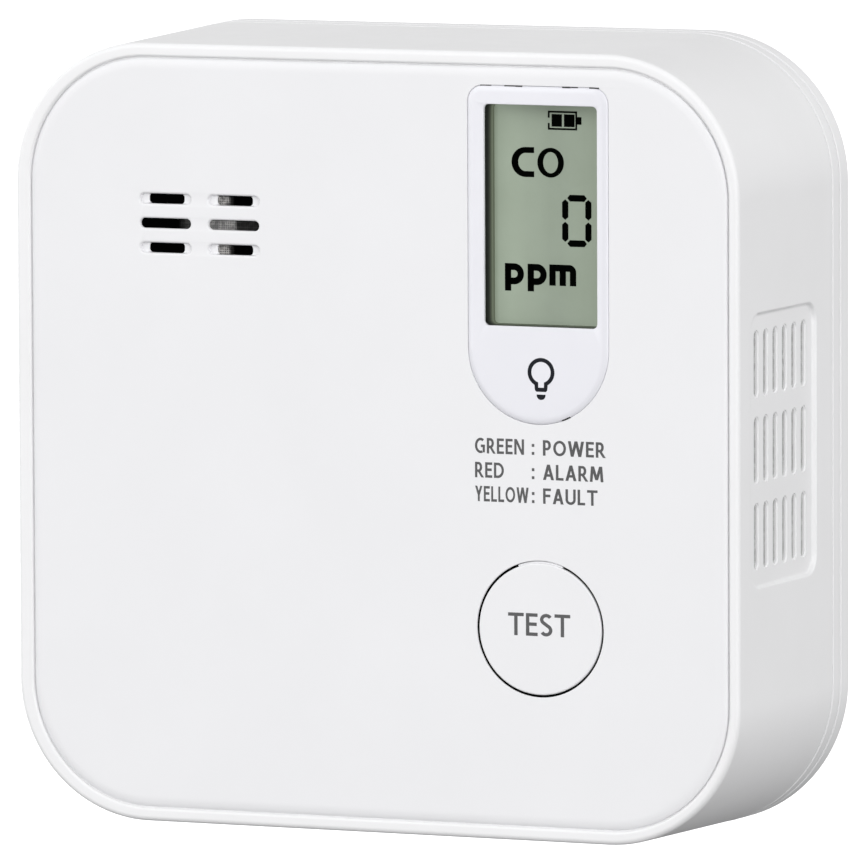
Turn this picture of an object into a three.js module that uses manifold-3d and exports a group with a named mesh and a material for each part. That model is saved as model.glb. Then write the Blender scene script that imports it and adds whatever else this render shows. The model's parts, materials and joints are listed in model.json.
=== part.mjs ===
// Wall-mounted carbon monoxide detector with a display, a test button and a slide-on wall plate.
// Millimetres. The wall face lies at Y = 0, the front faces -Y, X is to the right and Z is up.

import * as THREE from 'three';
import { mergeVertices } from 'three/addons/utils/BufferGeometryUtils.js';
import Module from 'manifold-3d';

const wasm = await Module();
wasm.setup();

// ---------- Driving dimensions ----------

const SIDE = 100; // width and height at the wall
const DEPTH = 34.5; // wall to front face
const CORNER = 18.6; // corner radius at the wall
const SEAM = 0.2; // visible gap between case pieces
const PLATE = 2.7; // wall plate, front to back
const BAND = 2.3; // visible edge of the rear cover
const COVER_WALL = 2; // back wall of the rear cover
const WALL = 2.2; // side wall of the housing
const DRAFT = 0.8; // how much the housing narrows on each side from back to front

const FRONT = -DEPTH;
const COVER_BACK = -PLATE - SEAM;
const COVER_FRONT = COVER_BACK - BAND;
const HOUSING_BACK = COVER_FRONT - SEAM;
const BACK_INSET = 0.15; // housing edge next to the rear cover
const FRONT_INSET = BACK_INSET + DRAFT;

const RIM = { width: 1.7, round: 1, inner: 0.3 };
const PANEL = { gap: 0.3, thick: 2, round: 1 };
const LEDGE = { inset: 7.5, thick: 1.8, gap: 0.2 };
const PANEL_INSET = FRONT_INSET + RIM.width + PANEL.gap;
const PANEL_BACK = FRONT + PANEL.thick;
const LEDGE_FRONT = PANEL_BACK + LEDGE.gap;
const LEDGE_BACK = LEDGE_FRONT + LEDGE.thick;

const VENT = {
  front: 3.4, back: 23.5, half: 17.3, round: 2.5, inset: 0.9,
  columns: 6, rows: 3, first: 4.4, pitch: 3.12, rowPitch: 10.55, width: 1, length: 8.6,
};
const SOUND = {
  x: -23.6, z: 26.55, length: 7, width: 1.34, open: 4.8, step: 0.6, rowPitch: 3.08, columnPitch: 9.36,
};

const OPENING = { left: 12.85, right: 31.75, top: 44.9, bottom: 2.95, round: 2.1 };
const FRAME = { gap: 0.12, proud: 0.2, skin: 0.4, flange: 0.9, flangeThick: 0.8, edge: 0.4 };
const WINDOW = { x: 22.8, z: 28.83, width: 14.95, height: 27.45, round: 0.5 };
const FRAME_FRONT = FRONT - FRAME.proud;
const FLANGE_BACK = PANEL_BACK + FRAME.flangeThick + 0.05;
const HOLDER = { lip: 0.55, wall: 0.6, left: 12.3, right: 33.3, bottom: 11.3, top: 46.2, side: 0.8 };
const GLASS = { thick: 2.2, polarizer: 0.9, left: 13.4, right: 32.2, bottom: 12.4, top: 45.1 };
const STRIP_TOP = 14.8; // the rubber contact strip fills the glass's lower edge up to here
const TUNNEL = { left: 16.8, right: 28.7, bottom: 4.2, top: 10.9, wall: 1 };
const LED = { x: 22.75, z: 7.6, pitch: 3.25 };

const BUTTON = {
  x: 22.4, z: -22.45, hole: 8.45, gap: 0.4, edge: 0.3, hinge: 10.5, tongue: 6, barrel: 0.5, stem: 2.2,
};
const SWITCH = { side: 6, height: 3.5, plunger: 1.75, reach: 2.4, bore: 1.95 };

const BOARD = { back: -20.7, thick: 1.6, inset: 4.5 };
const BOARD_FRONT = BOARD.back - BOARD.thick;
const SOLDER = 0.1; // gap under each board component

const PIN = { radius: 1.2, hole: 1.5 };
const BOSS = { at: 39.7, radius: 3.2, hole: 1.35, depth: 10.5 };
const POST = { x: 41.5, z: 27, radius: 2.6, hole: 1.25, depth: 6 };
const CASE_SCREW = { head: 2.7, headHeight: 1.6, shank: 1.15, length: 12 };
const BOARD_SCREW = { head: 2.3, headHeight: 1.4, shank: 1.05, length: 6.5 };

const BAY = { left: -31, right: 26, bottom: -40, top: -9, front: -18.6, wall: 1.5 };
const CELL = { radius: 7.1, length: 50.2, nub: 2.75, nubLength: 1, y: -11.2, gap: 14.9 };
const CONTACT = { thick: 0.4, front: -17.6, back: -5.2, half: 6, leaf: 7 };
const HOOKS = [[-20, 36], [20, 36], [-38, -24], [38, -24]];
const WALL_FIX = { base: 1.6, rim: 2.2, hole: 2.2, sink: 4.2, holeX: 30, keyZ: 22, keyTop: 29, keyHead: 4 };
const HOOK = { stem: 3.2, head: 6.4, headThick: 1.4, travel: 8, gap: 0.3 };

const SOUNDER = { x: -24.6, z: 26.5, radius: 12.5, port: 4.6 };
const SENSOR = { x: 33, z: 12, radius: 10, height: 11.5, cap: 9.4, inlets: 6, inletRing: 4.5 };

// ---------- Finishes ----------

const finish = (color, roughness, metalness = 0) =>
  new THREE.MeshStandardMaterial({ color, roughness, metalness });

const whiteShell = finish(0xf1f1f3, 0.45);
const whiteFrame = finish(0xf3f3fb, 0.25);
const whiteInner = finish(0xe9e9e6, 0.6);
const blackPlastic = finish(0x141414, 0.5);
const greyMesh = finish(0x8a8a86, 0.9);
const display = finish(0xa3af9b, 0.35);
const clearGlass = finish(0xc8d2cc, 0.1);
const greenBoard = finish(0x1f5c38, 0.5);
const chipBlack = finish(0x1c1c1e, 0.6);
const steel = finish(0xb9bcc0, 0.3, 1);
const brass = finish(0xc9a24b, 0.35, 1);
const rubber = finish(0x2a2a2c, 0.85);
const cellJacket = finish(0x33363c, 0.4);

// ---------- Shape tools ----------

const ARC = 4; // arc quality of the large outlines
const SMALL_ARC = 1; // arc quality of small corners and slots

// A solid from a closed geometry, with its faces turned outwards.
function solid(geometry) {
  const bare = geometry.clone();
  bare.deleteAttribute('normal');
  bare.deleteAttribute('uv');
  const merged = mergeVertices(bare);
  const place = merged.attributes.position;
  const corners = [0, 1, 2].map(() => new THREE.Vector3());
  let faces = [];
  let volume = 0;
  for (let i = 0; i < merged.index.count; i += 3) {
    const [a, b, c] = [0, 1, 2].map((k) => merged.index.getX(i + k));
    if (a === b || b === c || c === a) continue;
    [a, b, c].forEach((v, k) => corners[k].fromBufferAttribute(place, v));
    volume += corners[0].dot(corners[1].clone().cross(corners[2]));
    faces.push([a, b, c]);
  }
  if (volume < 0) faces = faces.map(([a, b, c]) => [a, c, b]);
  return new wasm.Manifold(new wasm.Mesh({
    numProp: 3,
    vertProperties: new Float32Array(place.array),
    triVerts: new Uint32Array(faces.flat()),
  }));
}

const join = (...bodies) => bodies.reduce((whole, body) => whole.add(body));
const cut = (body, ...tools) => tools.reduce((rest, tool) => rest.subtract(tool), body);

// A rectangle with round corners, drawn from its low corner to its high corner.
function roundedRect(left, bottom, right, top, radius) {
  const shape = new THREE.Shape();
  shape.moveTo(left + radius, bottom);
  shape.absarc(right - radius, bottom + radius, radius, -Math.PI / 2, 0);
  shape.absarc(right - radius, top - radius, radius, 0, Math.PI / 2);
  shape.absarc(left + radius, top - radius, radius, Math.PI / 2, Math.PI);
  shape.absarc(left + radius, bottom + radius, radius, Math.PI, 1.5 * Math.PI);
  return shape;
}

const centredRect = (x, z, width, height, radius) =>
  roundedRect(x - width / 2, z - height / 2, x + width / 2, z + height / 2, radius);

function circle(x, z, radius) {
  const shape = new THREE.Shape();
  shape.absarc(x, z, radius, 0, 2 * Math.PI);
  return shape;
}

// The display's outline: round top corners and a half-round bottom, `grow` outside the opening.
function displayOutline(grow) {
  const left = OPENING.left - grow;
  const right = OPENING.right + grow;
  const radius = (right - left) / 2;
  const low = OPENING.bottom - grow + radius;
  const corner = OPENING.round + grow;
  const high = OPENING.top + grow - corner;
  const shape = new THREE.Shape();
  shape.absarc((left + right) / 2, low, radius, Math.PI, 2 * Math.PI);
  shape.absarc(right - corner, high, corner, 0, Math.PI / 2);
  shape.absarc(left + corner, high, corner, Math.PI / 2, Math.PI);
  return shape;
}

// A front-view shape given thickness between two depths.
function slab(shape, yA, yB, arc = SMALL_ARC) {
  const depth = Math.abs(yA - yB);
  const geometry = new THREE.ExtrudeGeometry(shape, { depth, bevelEnabled: false, curveSegments: arc });
  geometry.rotateX(Math.PI / 2);
  geometry.translate(0, Math.max(yA, yB), 0);
  return solid(geometry);
}

// A side-view shape, drawn as depth against height, given thickness between two widths.
function sideSlab(shape, xA, xB, arc = SMALL_ARC) {
  const options = { depth: Math.abs(xB - xA), bevelEnabled: false, curveSegments: arc };
  const geometry = new THREE.ExtrudeGeometry(shape, options);
  const axes = [new THREE.Vector3(0, 1, 0), new THREE.Vector3(0, 0, 1), new THREE.Vector3(1, 0, 0)];
  geometry.applyMatrix4(new THREE.Matrix4().makeBasis(...axes));
  geometry.translate(Math.min(xA, xB), 0, 0);
  return solid(geometry);
}

function block(low, high) {
  const size = high.map((value, axis) => value - low[axis]);
  const geometry = new THREE.BoxGeometry(...size);
  geometry.translate(...low.map((value, axis) => value + size[axis] / 2));
  return solid(geometry);
}

// A turned solid about a front-to-back axis: its profile is a list of [radius, y].
function turned(profile, x = 0, z = 0, segments = 20) {
  const points = profile.map(([radius, y]) => new THREE.Vector2(radius, y));
  const geometry = new THREE.LatheGeometry(points, segments);
  geometry.translate(x, 0, z);
  return solid(geometry);
}

const rod = (radius, yA, yB, x = 0, z = 0, segments = 12) =>
  turned([[0, yA], [radius, yA], [radius, yB], [0, yB]], x, z, segments);

const rods = (places, radius, yA, yB, segments) =>
  places.map(([x, z]) => rod(radius, yA, yB, x, z, segments));

// The case outline at a given inset, as points at one depth.
function caseRing([inset, y]) {
  const half = SIDE / 2 - inset;
  const points = roundedRect(-half, -half, half, half, CORNER - inset).getPoints(ARC);
  if (points[0].distanceTo(points.at(-1)) < 1e-6) points.pop();
  return points.map((point) => new THREE.Vector3(point.x, y, point.y));
}

// Rings joined into a closed skin. A closed list runs back to its first ring, an open one is capped.
function loft(rings, closed) {
  const count = rings[0].length;
  const index = [];
  const spans = closed ? rings.length : rings.length - 1;
  for (let i = 0; i < spans; i += 1) {
    const a = i * count;
    const b = ((i + 1) % rings.length) * count;
    for (let j = 0; j < count; j += 1) {
      const k = (j + 1) % count;
      index.push(a + j, a + k, b + k, a + j, b + k, b + j);
    }
  }
  if (!closed) {
    const contour = rings[0].map((point) => new THREE.Vector2(point.x, point.z));
    const last = (rings.length - 1) * count;
    for (const [p, q, r] of THREE.ShapeUtils.triangulateShape(contour, [])) {
      index.push(r, q, p, last + p, last + q, last + r);
    }
  }
  const geometry = new THREE.BufferGeometry().setFromPoints(rings.flat());
  geometry.setIndex(index);
  return solid(geometry);
}

// A band that runs round the case, from the closed section [inset, y].
const caseBand = (section) => loft(section.map(caseRing), true);

// A full block of the case outline, through the levels [inset, y] from back to front.
const caseBlock = (levels) => loft(levels.map(caseRing), false);

// Points of a quarter-round edge in [inset, y], from the side to the front face.
function roundEdge(inset, front, radius, steps = 2) {
  return Array.from({ length: steps + 1 }, (_, i) => {
    const angle = (i / steps) * (Math.PI / 2);
    return [inset + radius * (1 - Math.cos(angle)), front + radius * (1 - Math.sin(angle))];
  });
}

const fourPlaces = (x, z) => [[-x, -z], [x, -z], [x, z], [-x, z]];
const bossPlaces = fourPlaces(BOSS.at, BOSS.at);
const postPlaces = fourPlaces(POST.x, POST.z);
const pinLine = SIDE / 2 - 5.4; // the panel's pins run along the middle of the ledge
const pinPlaces = [...fourPlaces(pinLine, 30), [-20, pinLine], [-20, -pinLine], [20, -pinLine]];

// ---------- Case ----------

// Tools that cut one side's shallow pocket and its slots. The side is 1 for right and -1 for left.
function ventSlots(side) {
  const outside = side * (SIDE / 2 + 1);
  const through = (shape, depth) => sideSlab(shape, side * (SIDE / 2 - depth), outside);
  const pocket = roundedRect(FRONT + VENT.front, -VENT.half, FRONT + VENT.back, VENT.half, VENT.round);
  const tools = [through(pocket, VENT.inset)];
  for (let row = 0; row < VENT.rows; row += 1) {
    for (let column = 0; column < VENT.columns; column += 1) {
      const y = FRONT + VENT.first + column * VENT.pitch;
      const z = (row - (VENT.rows - 1) / 2) * VENT.rowPitch;
      const groove = centredRect(y, z, VENT.width, VENT.length, VENT.width / 2);
      tools.push(through(groove, 4.5));
    }
  }
  return tools;
}

function frontHousing() {
  const rimInside = FRONT_INSET + RIM.width;
  const shell = caseBand([
    [BACK_INSET, HOUSING_BACK],
    ...roundEdge(FRONT_INSET, FRONT, RIM.round),
    [rimInside - RIM.inner, FRONT],
    [rimInside, FRONT + RIM.inner],
    [rimInside, LEDGE_FRONT],
    [LEDGE.inset, LEDGE_FRONT],
    [LEDGE.inset, LEDGE_BACK],
    [FRONT_INSET + WALL, LEDGE_BACK],
    [BACK_INSET + WALL, HOUSING_BACK],
  ]);
  const bossBack = HOUSING_BACK - 1.1;
  const wallInside = SIDE / 2 - FRONT_INSET - WALL;
  const displayNotch = block(
    [HOLDER.left - 1.5, LEDGE_FRONT - 0.1, 40],
    [HOLDER.right + 0.9, LEDGE_BACK + 0.1, wallInside],
  );
  const whole = join(
    shell,
    ...rods(bossPlaces, BOSS.radius, LEDGE_BACK - 1, bossBack),
    ...rods(postPlaces, POST.radius, LEDGE_BACK - 1, BOARD_FRONT - SOLDER),
  );
  return cut(
    whole,
    ...rods(bossPlaces, BOSS.hole, bossBack - BOSS.depth, bossBack + 1, 8),
    ...rods(postPlaces, POST.hole, BOARD_FRONT - POST.depth, BOARD_FRONT + 1, 8),
    ...rods(pinPlaces, PIN.hole, LEDGE_FRONT - 1, LEDGE_BACK + 1, 8),
    displayNotch,
    ...ventSlots(1),
    ...ventSlots(-1),
  );
}

// Tools for the sound slots: the middle row is open from end to end, the others only in the middle.
function soundSlots() {
  const tools = [];
  for (const column of [-0.5, 0.5]) {
    for (const row of [-1, 0, 1]) {
      const x = SOUND.x + column * SOUND.columnPitch;
      const z = SOUND.z + row * SOUND.rowPitch;
      const full = centredRect(x, z, SOUND.length, SOUND.width, SOUND.width / 2);
      const middle = centredRect(x, z, SOUND.open, SOUND.width, 0.3);
      tools.push(slab(full, FRONT - 1, row === 0 ? PANEL_BACK + 1 : FRONT + SOUND.step));
      if (row !== 0) tools.push(slab(middle, FRONT - 1, PANEL_BACK + 1));
    }
  }
  return tools;
}

function frontPanel() {
  const plate = caseBlock([[PANEL_INSET, PANEL_BACK], ...roundEdge(PANEL_INSET, FRONT, PANEL.round)]);
  const pins = rods(pinPlaces, PIN.radius, PANEL_BACK - 0.5, LEDGE_BACK + 0.5, 8);
  const tonguePocket = block(
    [BUTTON.x - BUTTON.tongue / 2 - 0.3, FRONT + 0.5, BUTTON.z + BUTTON.hole - 1],
    [BUTTON.x + BUTTON.tongue / 2 + 0.3, PANEL_BACK + 1, BUTTON.z + BUTTON.hinge + 1.3],
  );
  return cut(
    join(plate, ...pins),
    slab(displayOutline(0), FRONT - 1, PANEL_BACK + 1, ARC),
    slab(circle(BUTTON.x, BUTTON.z, BUTTON.hole), FRONT - 1, PANEL_BACK + 1, 16),
    tonguePocket,
    ...soundSlots(),
  );
}

function rearCover() {
  const inset = BACK_INSET - 0.05;
  const lip = { outer: BACK_INSET + WALL + 0.25, thick: 0.8, reach: 3 };
  const back = caseBlock([[inset, COVER_BACK], [inset, COVER_FRONT]]);
  const inside = caseBlock([[lip.outer, COVER_BACK - COVER_WALL], [lip.outer, COVER_FRONT - 1]]);
  const locating = caseBand([
    [lip.outer, COVER_BACK - 1],
    [lip.outer, COVER_FRONT - lip.reach],
    [lip.outer + lip.thick, COVER_FRONT - lip.reach],
    [lip.outer + lip.thick, COVER_BACK - 1],
  ]);
  const wall = BAY.wall;
  const bay = block(
    [BAY.left - wall, BAY.front - wall, BAY.bottom - wall],
    [BAY.right + wall, COVER_BACK - 1, BAY.top + wall],
  );
  const bayHollow = block([BAY.left, BAY.front, BAY.bottom], [BAY.right, COVER_BACK + 1, BAY.top]);
  const pads = rods(bossPlaces, BOSS.radius + 0.6, COVER_BACK - 1, HOUSING_BACK - 0.9);
  return cut(
    join(cut(back, inside), locating, bay, ...pads),
    bayHollow,
    ...rods(bossPlaces, CASE_SCREW.head + 0.3, COVER_BACK + 1, COVER_BACK - 2),
    ...rods(bossPlaces, 1.5, COVER_BACK + 1, HOUSING_BACK - 2),
    ...HOOKS.flatMap(hookSlot),
  );
}

// The keyhole for one hook: a narrow slot where it locks, and a wide mouth where its head comes out.
function hookSlot([x, z]) {
  const narrow = HOOK.stem / 2 + HOOK.gap;
  const wide = HOOK.head / 2 + HOOK.gap;
  const mouth = z - HOOK.travel;
  const front = COVER_FRONT - 1;
  const back = COVER_BACK + 1;
  return [
    block([x - narrow, front, mouth], [x + narrow, back, z + narrow]),
    block([x - wide, front, mouth - narrow], [x + wide, back, mouth + narrow]),
  ];
}

// One hook of the wall plate: a stem through the rear cover, and a head in front of its back wall.
function wallHook([x, z]) {
  const half = HOOK.stem / 2;
  const wide = HOOK.head / 2;
  const headBack = COVER_BACK - COVER_WALL - HOOK.gap;
  const headFront = headBack - HOOK.headThick;
  return [
    block([x - half, headFront, z - half], [x + half, -1, z + half]),
    block([x - wide, headFront, z - half], [x + wide, headBack, z + half]),
  ];
}

function wallPlate() {
  const { base, rim, hole, sink, holeX, keyZ, keyTop, keyHead } = WALL_FIX;
  const plate = caseBlock([[0.3, 0], [0, -0.3], [0.05, -PLATE]]);
  const hollow = caseBlock([[rim, -base], [rim, -PLATE - 1]]);
  const screwHole = [[0, 1], [hole, 1], [hole, -1], [sink, -PLATE], [0, -PLATE]];
  const keyHole = join(
    rod(keyHead, 1, -PLATE, 0, keyZ),
    block([-hole, -PLATE, keyZ], [hole, 1, keyTop]),
    rod(hole, 1, -PLATE, 0, keyTop),
  );
  return cut(
    join(cut(plate, hollow), ...HOOKS.flatMap(wallHook)),
    turned(screwHole, -holeX, 0, 12),
    turned(screwHole, holeX, 0, 12),
    keyHole,
  );
}

// ---------- Display ----------

function windowShape(grow) {
  const { x, z, width, height, round } = WINDOW;
  return centredRect(x, z, width + 2 * grow, height + 2 * grow, round + Math.max(grow, 0));
}

function displayFrame() {
  const body = slab(displayOutline(-FRAME.gap), FRAME_FRONT + FRAME.edge, FLANGE_BACK, ARC);
  const face = slab(displayOutline(-FRAME.gap - 0.3), FRAME_FRONT, FRAME_FRONT + FRAME.edge, ARC);
  const flange = slab(displayOutline(FRAME.flange), PANEL_BACK + 0.05, FLANGE_BACK, ARC);
  const pocket = slab(windowShape(HOLDER.lip + 0.25), FRAME_FRONT + FRAME.skin, FLANGE_BACK + 1);
  return cut(join(body, face, flange), slab(windowShape(0), FRAME_FRONT - 1, FLANGE_BACK + 1), pocket);
}

const HOLDER_FRONT = FLANGE_BACK + 0.05;
const GLASS_FRONT = HOLDER_FRONT + HOLDER.wall + 0.05;
const GLASS_BACK = GLASS_FRONT + GLASS.thick;

function lcdHolder() {
  const { left, right, bottom, top, side } = HOLDER;
  const lip = slab(windowShape(HOLDER.lip), FRAME_FRONT + FRAME.skin + 0.1, HOLDER_FRONT + 0.2);
  const tray = block([left, HOLDER_FRONT, bottom], [right, BOARD_FRONT - SOLDER, top]);
  const hollow = block(
    [left + side, HOLDER_FRONT + HOLDER.wall, bottom + side],
    [right - side, BOARD_FRONT + 1, top - side],
  );
  return cut(join(lip, tray), hollow, slab(windowShape(0.05), FRAME_FRONT - 1, GLASS_FRONT + 1));
}

const lcdGlass = () => block([GLASS.left, GLASS_FRONT, GLASS.bottom], [GLASS.right, GLASS_BACK, GLASS.top]);
const lcdPolarizer = () => slab(windowShape(-0.05), GLASS_FRONT - GLASS.polarizer, GLASS_FRONT - 0.02);
const lcdReflector = () => block(
  [GLASS.left + 0.6, GLASS_BACK + 0.1, STRIP_TOP + 0.8],
  [GLASS.right - 0.6, GLASS_BACK + 0.4, GLASS.top - 0.5],
);
const elastomerStrip = () => block(
  [GLASS.left + 0.6, GLASS_BACK + 0.05, GLASS.bottom + 0.2],
  [GLASS.right - 0.6, BOARD_FRONT - SOLDER, STRIP_TOP],
);

function lightTunnel() {
  const { left, right, bottom, top, wall } = TUNNEL;
  const outer = block([left, FLANGE_BACK + 0.1, bottom], [right, BOARD_FRONT - SOLDER, top]);
  const inner = block(
    [left + wall, FLANGE_BACK - 1, bottom + wall],
    [right - wall, BOARD_FRONT + 1, top - wall],
  );
  return cut(outer, inner);
}

const statusLed = () => join(
  block([-0.8, -0.6, -1.6], [0.8, 0, 1.6]),
  block([-0.7, -1.2, -1], [0.7, -0.5, 1]),
);

// ---------- Test button and its switch ----------

const HINGE_Y = FRONT + 1.2;

function testButton() {
  const radius = BUTTON.hole - BUTTON.gap;
  const capSide = [
    [0, PANEL_BACK], [radius, PANEL_BACK],
    [radius, FRONT + BUTTON.edge], [radius - BUTTON.edge, FRONT], [0, FRONT],
  ];
  const cap = turned(capSide, BUTTON.x, BUTTON.z, 32);
  const hingeZ = BUTTON.z + BUTTON.hinge;
  const half = BUTTON.tongue / 2;
  const tongue = block(
    [BUTTON.x - half, HINGE_Y - 0.4, BUTTON.z + radius - 1.5],
    [BUTTON.x + half, HINGE_Y + 0.4, hingeZ],
  );
  const barrel = sideSlab(circle(HINGE_Y, hingeZ, BUTTON.barrel), BUTTON.x - half, BUTTON.x + half, 8);
  const stem = rod(BUTTON.stem, PANEL_BACK - 0.5, switchTip - 0.3, BUTTON.x, BUTTON.z);
  return join(cap, tongue, barrel, stem);
}

const switchBase = BOARD_FRONT - SOLDER;
const switchTop = switchBase - SWITCH.height;
const switchTip = switchTop - SWITCH.reach;

function switchBody() {
  const half = SWITCH.side / 2;
  const { x, z } = BUTTON;
  const base = block([x - half, switchTop, z - half], [x + half, switchBase, z + half]);
  const reach = half + 1.4;
  const leads = [z - 2.25, z + 2.25].map((at) =>
    block([x - reach, switchBase - 0.3, at - 0.35], [x + reach, switchBase, at + 0.35]));
  return cut(join(base, ...leads), rod(SWITCH.bore, switchTop - 1, switchTop + 1.4, x, z));
}

const switchPlunger = () => rod(SWITCH.plunger, switchTip, switchTop + 0.7, BUTTON.x, BUTTON.z);

// ---------- Circuit board and its parts ----------

function mainBoard() {
  const board = caseBlock([[BOARD.inset, BOARD.back], [BOARD.inset, BOARD_FRONT]]);
  const room = 2 * (SIDE / 2 - BOSS.at + BOSS.radius + 0.6); // a square at each case corner clears its boss
  const notches = fourPlaces(SIDE / 2, SIDE / 2).map(([x, z]) =>
    slab(centredRect(x, z, room, room, 1), BOARD_FRONT - 1, BOARD.back + 1));
  return cut(board, ...notches, ...rods(postPlaces, 1.4, BOARD_FRONT - 1, BOARD.back + 1));
}

// A chip drawn flat on a surface at Y = 0, standing towards -Y, with leads on two sides.
function chip(width, height, thick, leads, leadPitch) {
  const body = block([-width / 2, -thick, -height / 2], [width / 2, -0.1, height / 2]);
  const rows = Array.from({ length: leads }, (_, i) => {
    const z = (i - (leads - 1) / 2) * leadPitch;
    return block([-width / 2 - 1, -thick / 2, z - 0.2], [width / 2 + 1, 0, z + 0.2]);
  });
  return join(body, ...rows);
}

const capacitor = () => turned([[0, 0], [3.15, 0], [3.15, 7.2], [2.75, 7.7], [0, 7.7]]);
const inductor = () => turned([[0, 0], [4, 0], [4, 1], [3, 1.2], [3, 3.8], [4, 4], [4, 5], [0, 5]]);
const crystal = () => slab(centredRect(0, 0, 11, 4.6, 2.3), 3.5, 0);

function sounderHousing() {
  const { radius, port, x, z } = SOUNDER;
  const front = PANEL_BACK + 0.6;
  const back = BOARD_FRONT - SOLDER;
  const bore = radius - 1.2;
  const seat = bore - 1; // the piezo disc rests on this step
  return turned([
    [port, front], [radius, front], [radius, back], [bore, back], [bore, front + 4],
    [seat, front + 4], [seat, front + 1], [port, front + 1], [port, front],
  ], x, z);
}

const sounderDisc = (radius, depth, thick) =>
  rod(radius, PANEL_BACK + depth, PANEL_BACK + depth + thick, SOUNDER.x, SOUNDER.z, 20);

const sounderMesh = () => sounderDisc(SOUNDER.port - 0.2, 1, 0.4);
const piezoDisc = () => sounderDisc(SOUNDER.radius - 1.5, 4.7, 0.3);

const sensorBase = BOARD.back + SOLDER;
const sensorBody = () => rod(SENSOR.radius, sensorBase, sensorBase + SENSOR.height, SENSOR.x, SENSOR.z, 20);

function sensorCap() {
  const { x, z, cap, inlets, inletRing } = SENSOR;
  const low = sensorBase + SENSOR.height + 0.1;
  const side = [[0, low], [cap, low], [cap, low + 1.6], [cap - 0.4, low + 2], [0, low + 2]];
  const places = Array.from({ length: inlets }, (_, i) => {
    const angle = (i / inlets) * 2 * Math.PI;
    return [x + inletRing * Math.cos(angle), z + inletRing * Math.sin(angle)];
  });
  return cut(turned(side, x, z), ...rods(places, 0.8, low - 1, low + 3, 6));
}

// A sheet of fine mesh behind one side's slots.
function dustMesh(side) {
  const sheet = roundedRect(FRONT + 4.3, 0.7 - VENT.half, FRONT + 22, VENT.half - 0.7, 1);
  return sideSlab(sheet, side * 46.2, side * 46.6);
}

// ---------- Batteries and contacts ----------

// A cell along X, centred on the origin, with its raised end towards +X.
function cell() {
  const { radius, nub } = CELL;
  const half = CELL.length / 2;
  const top = half - CELL.nubLength;
  const profile = [
    [0, -half], [radius - 0.5, -half], [radius, 0.5 - half], [radius, top - 0.5],
    [radius - 0.5, top], [nub, top], [nub, half], [0, half],
  ];
  const geometry = new THREE.LatheGeometry(profile.map(([r, y]) => new THREE.Vector2(r, y)), 20);
  geometry.rotateZ(-Math.PI / 2);
  return solid(geometry);
}

// A contact plate against the end wall of the bay, standing towards +X.
function contactPlate(zLow, zHigh) {
  return block([0, CONTACT.front, zLow], [CONTACT.thick, CONTACT.back, zHigh]);
}

// A sprung leaf: a strip bent out from the foot of the plate and back.
function contactLeaf(z) {
  const outline = [
    [0.2, -17.2], [2.4, -12], [2.4, -10.4], [1.2, -7.4], [0.85, -7.6], [2, -10.5], [2, -11.9], [0.2, -16.2],
  ];
  const shape = new THREE.Shape(outline.map(([x, y]) => new THREE.Vector2(x, y)));
  const geometry = new THREE.ExtrudeGeometry(shape, { depth: CONTACT.leaf, bevelEnabled: false });
  geometry.translate(0, 0, z - CONTACT.leaf / 2);
  return solid(geometry);
}

const contactDimple = (z) => {
  const geometry = new THREE.CylinderGeometry(2, 3.2, 2.2, 16);
  geometry.rotateZ(-Math.PI / 2);
  geometry.translate(1.3, CELL.y, z);
  return solid(geometry);
};

const cellZ = [(BAY.top + BAY.bottom) / 2 + CELL.gap / 2, (BAY.top + BAY.bottom) / 2 - CELL.gap / 2];

// ---------- Screws ----------

// A screw with its head's top at Y = 0 and its point towards -Y, with a cross recess.
function screw({ head, headHeight, shank, length }) {
  const body = turned([
    [0, 0], [head - 0.6, 0], [head, -0.6], [head, -headHeight], [shank, -headHeight],
    [shank, -length + 1], [0.4, -length], [0, -length],
  ], 0, 0, 10);
  const arm = head * 0.6;
  const slotA = block([-arm, -0.8, -0.3], [arm, 1, 0.3]);
  const slotB = block([-0.3, -0.8, -arm], [0.3, 1, arm]);
  return cut(body, slotA, slotB);
}

// ---------- Assembly ----------

function piece(name, body, material, place = [0, 0, 0], turn = [0, 0, 0]) {
  const mesh = body.getMesh();
  const geometry = new THREE.BufferGeometry();
  geometry.setAttribute('position', new THREE.BufferAttribute(mesh.vertProperties, 3));
  geometry.setIndex(new THREE.BufferAttribute(mesh.triVerts, 1));
  geometry.computeVertexNormals();
  const result = new THREE.Mesh(geometry, material);
  result.name = name;
  result.position.set(...place);
  result.rotation.set(...turn);
  return result;
}

const caseGroup = new THREE.Group();
caseGroup.add(
  piece('front_housing', frontHousing(), whiteShell),
  piece('front_panel', frontPanel(), whiteShell),
  piece('rear_cover', rearCover(), whiteShell),
  piece('wall_plate', wallPlate(), whiteShell),
  piece('dust_mesh_left', dustMesh(-1), greyMesh),
  piece('dust_mesh_right', dustMesh(1), greyMesh),
);

const displayGroup = new THREE.Group();
displayGroup.add(
  piece('display_frame', displayFrame(), whiteFrame),
  piece('lcd_holder', lcdHolder(), blackPlastic),
  piece('lcd_glass', lcdGlass(), clearGlass),
  piece('lcd_polarizer', lcdPolarizer(), display),
  piece('lcd_reflector', lcdReflector(), steel),
  piece('elastomer_strip', elastomerStrip(), rubber),
  piece('light_tunnel', lightTunnel(), whiteInner),
);
['power_led', 'alarm_led', 'fault_led'].forEach((name, i) => {
  const x = LED.x + (i - 1) * LED.pitch;
  displayGroup.add(piece(name, statusLed(), whiteInner, [x, BOARD_FRONT - SOLDER, LED.z]));
});

const buttonGroup = new THREE.Group();
buttonGroup.add(
  piece('test_button', testButton(), whiteShell),
  piece('switch_body', switchBody(), blackPlastic),
  piece('switch_plunger', switchPlunger(), chipBlack),
);

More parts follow.
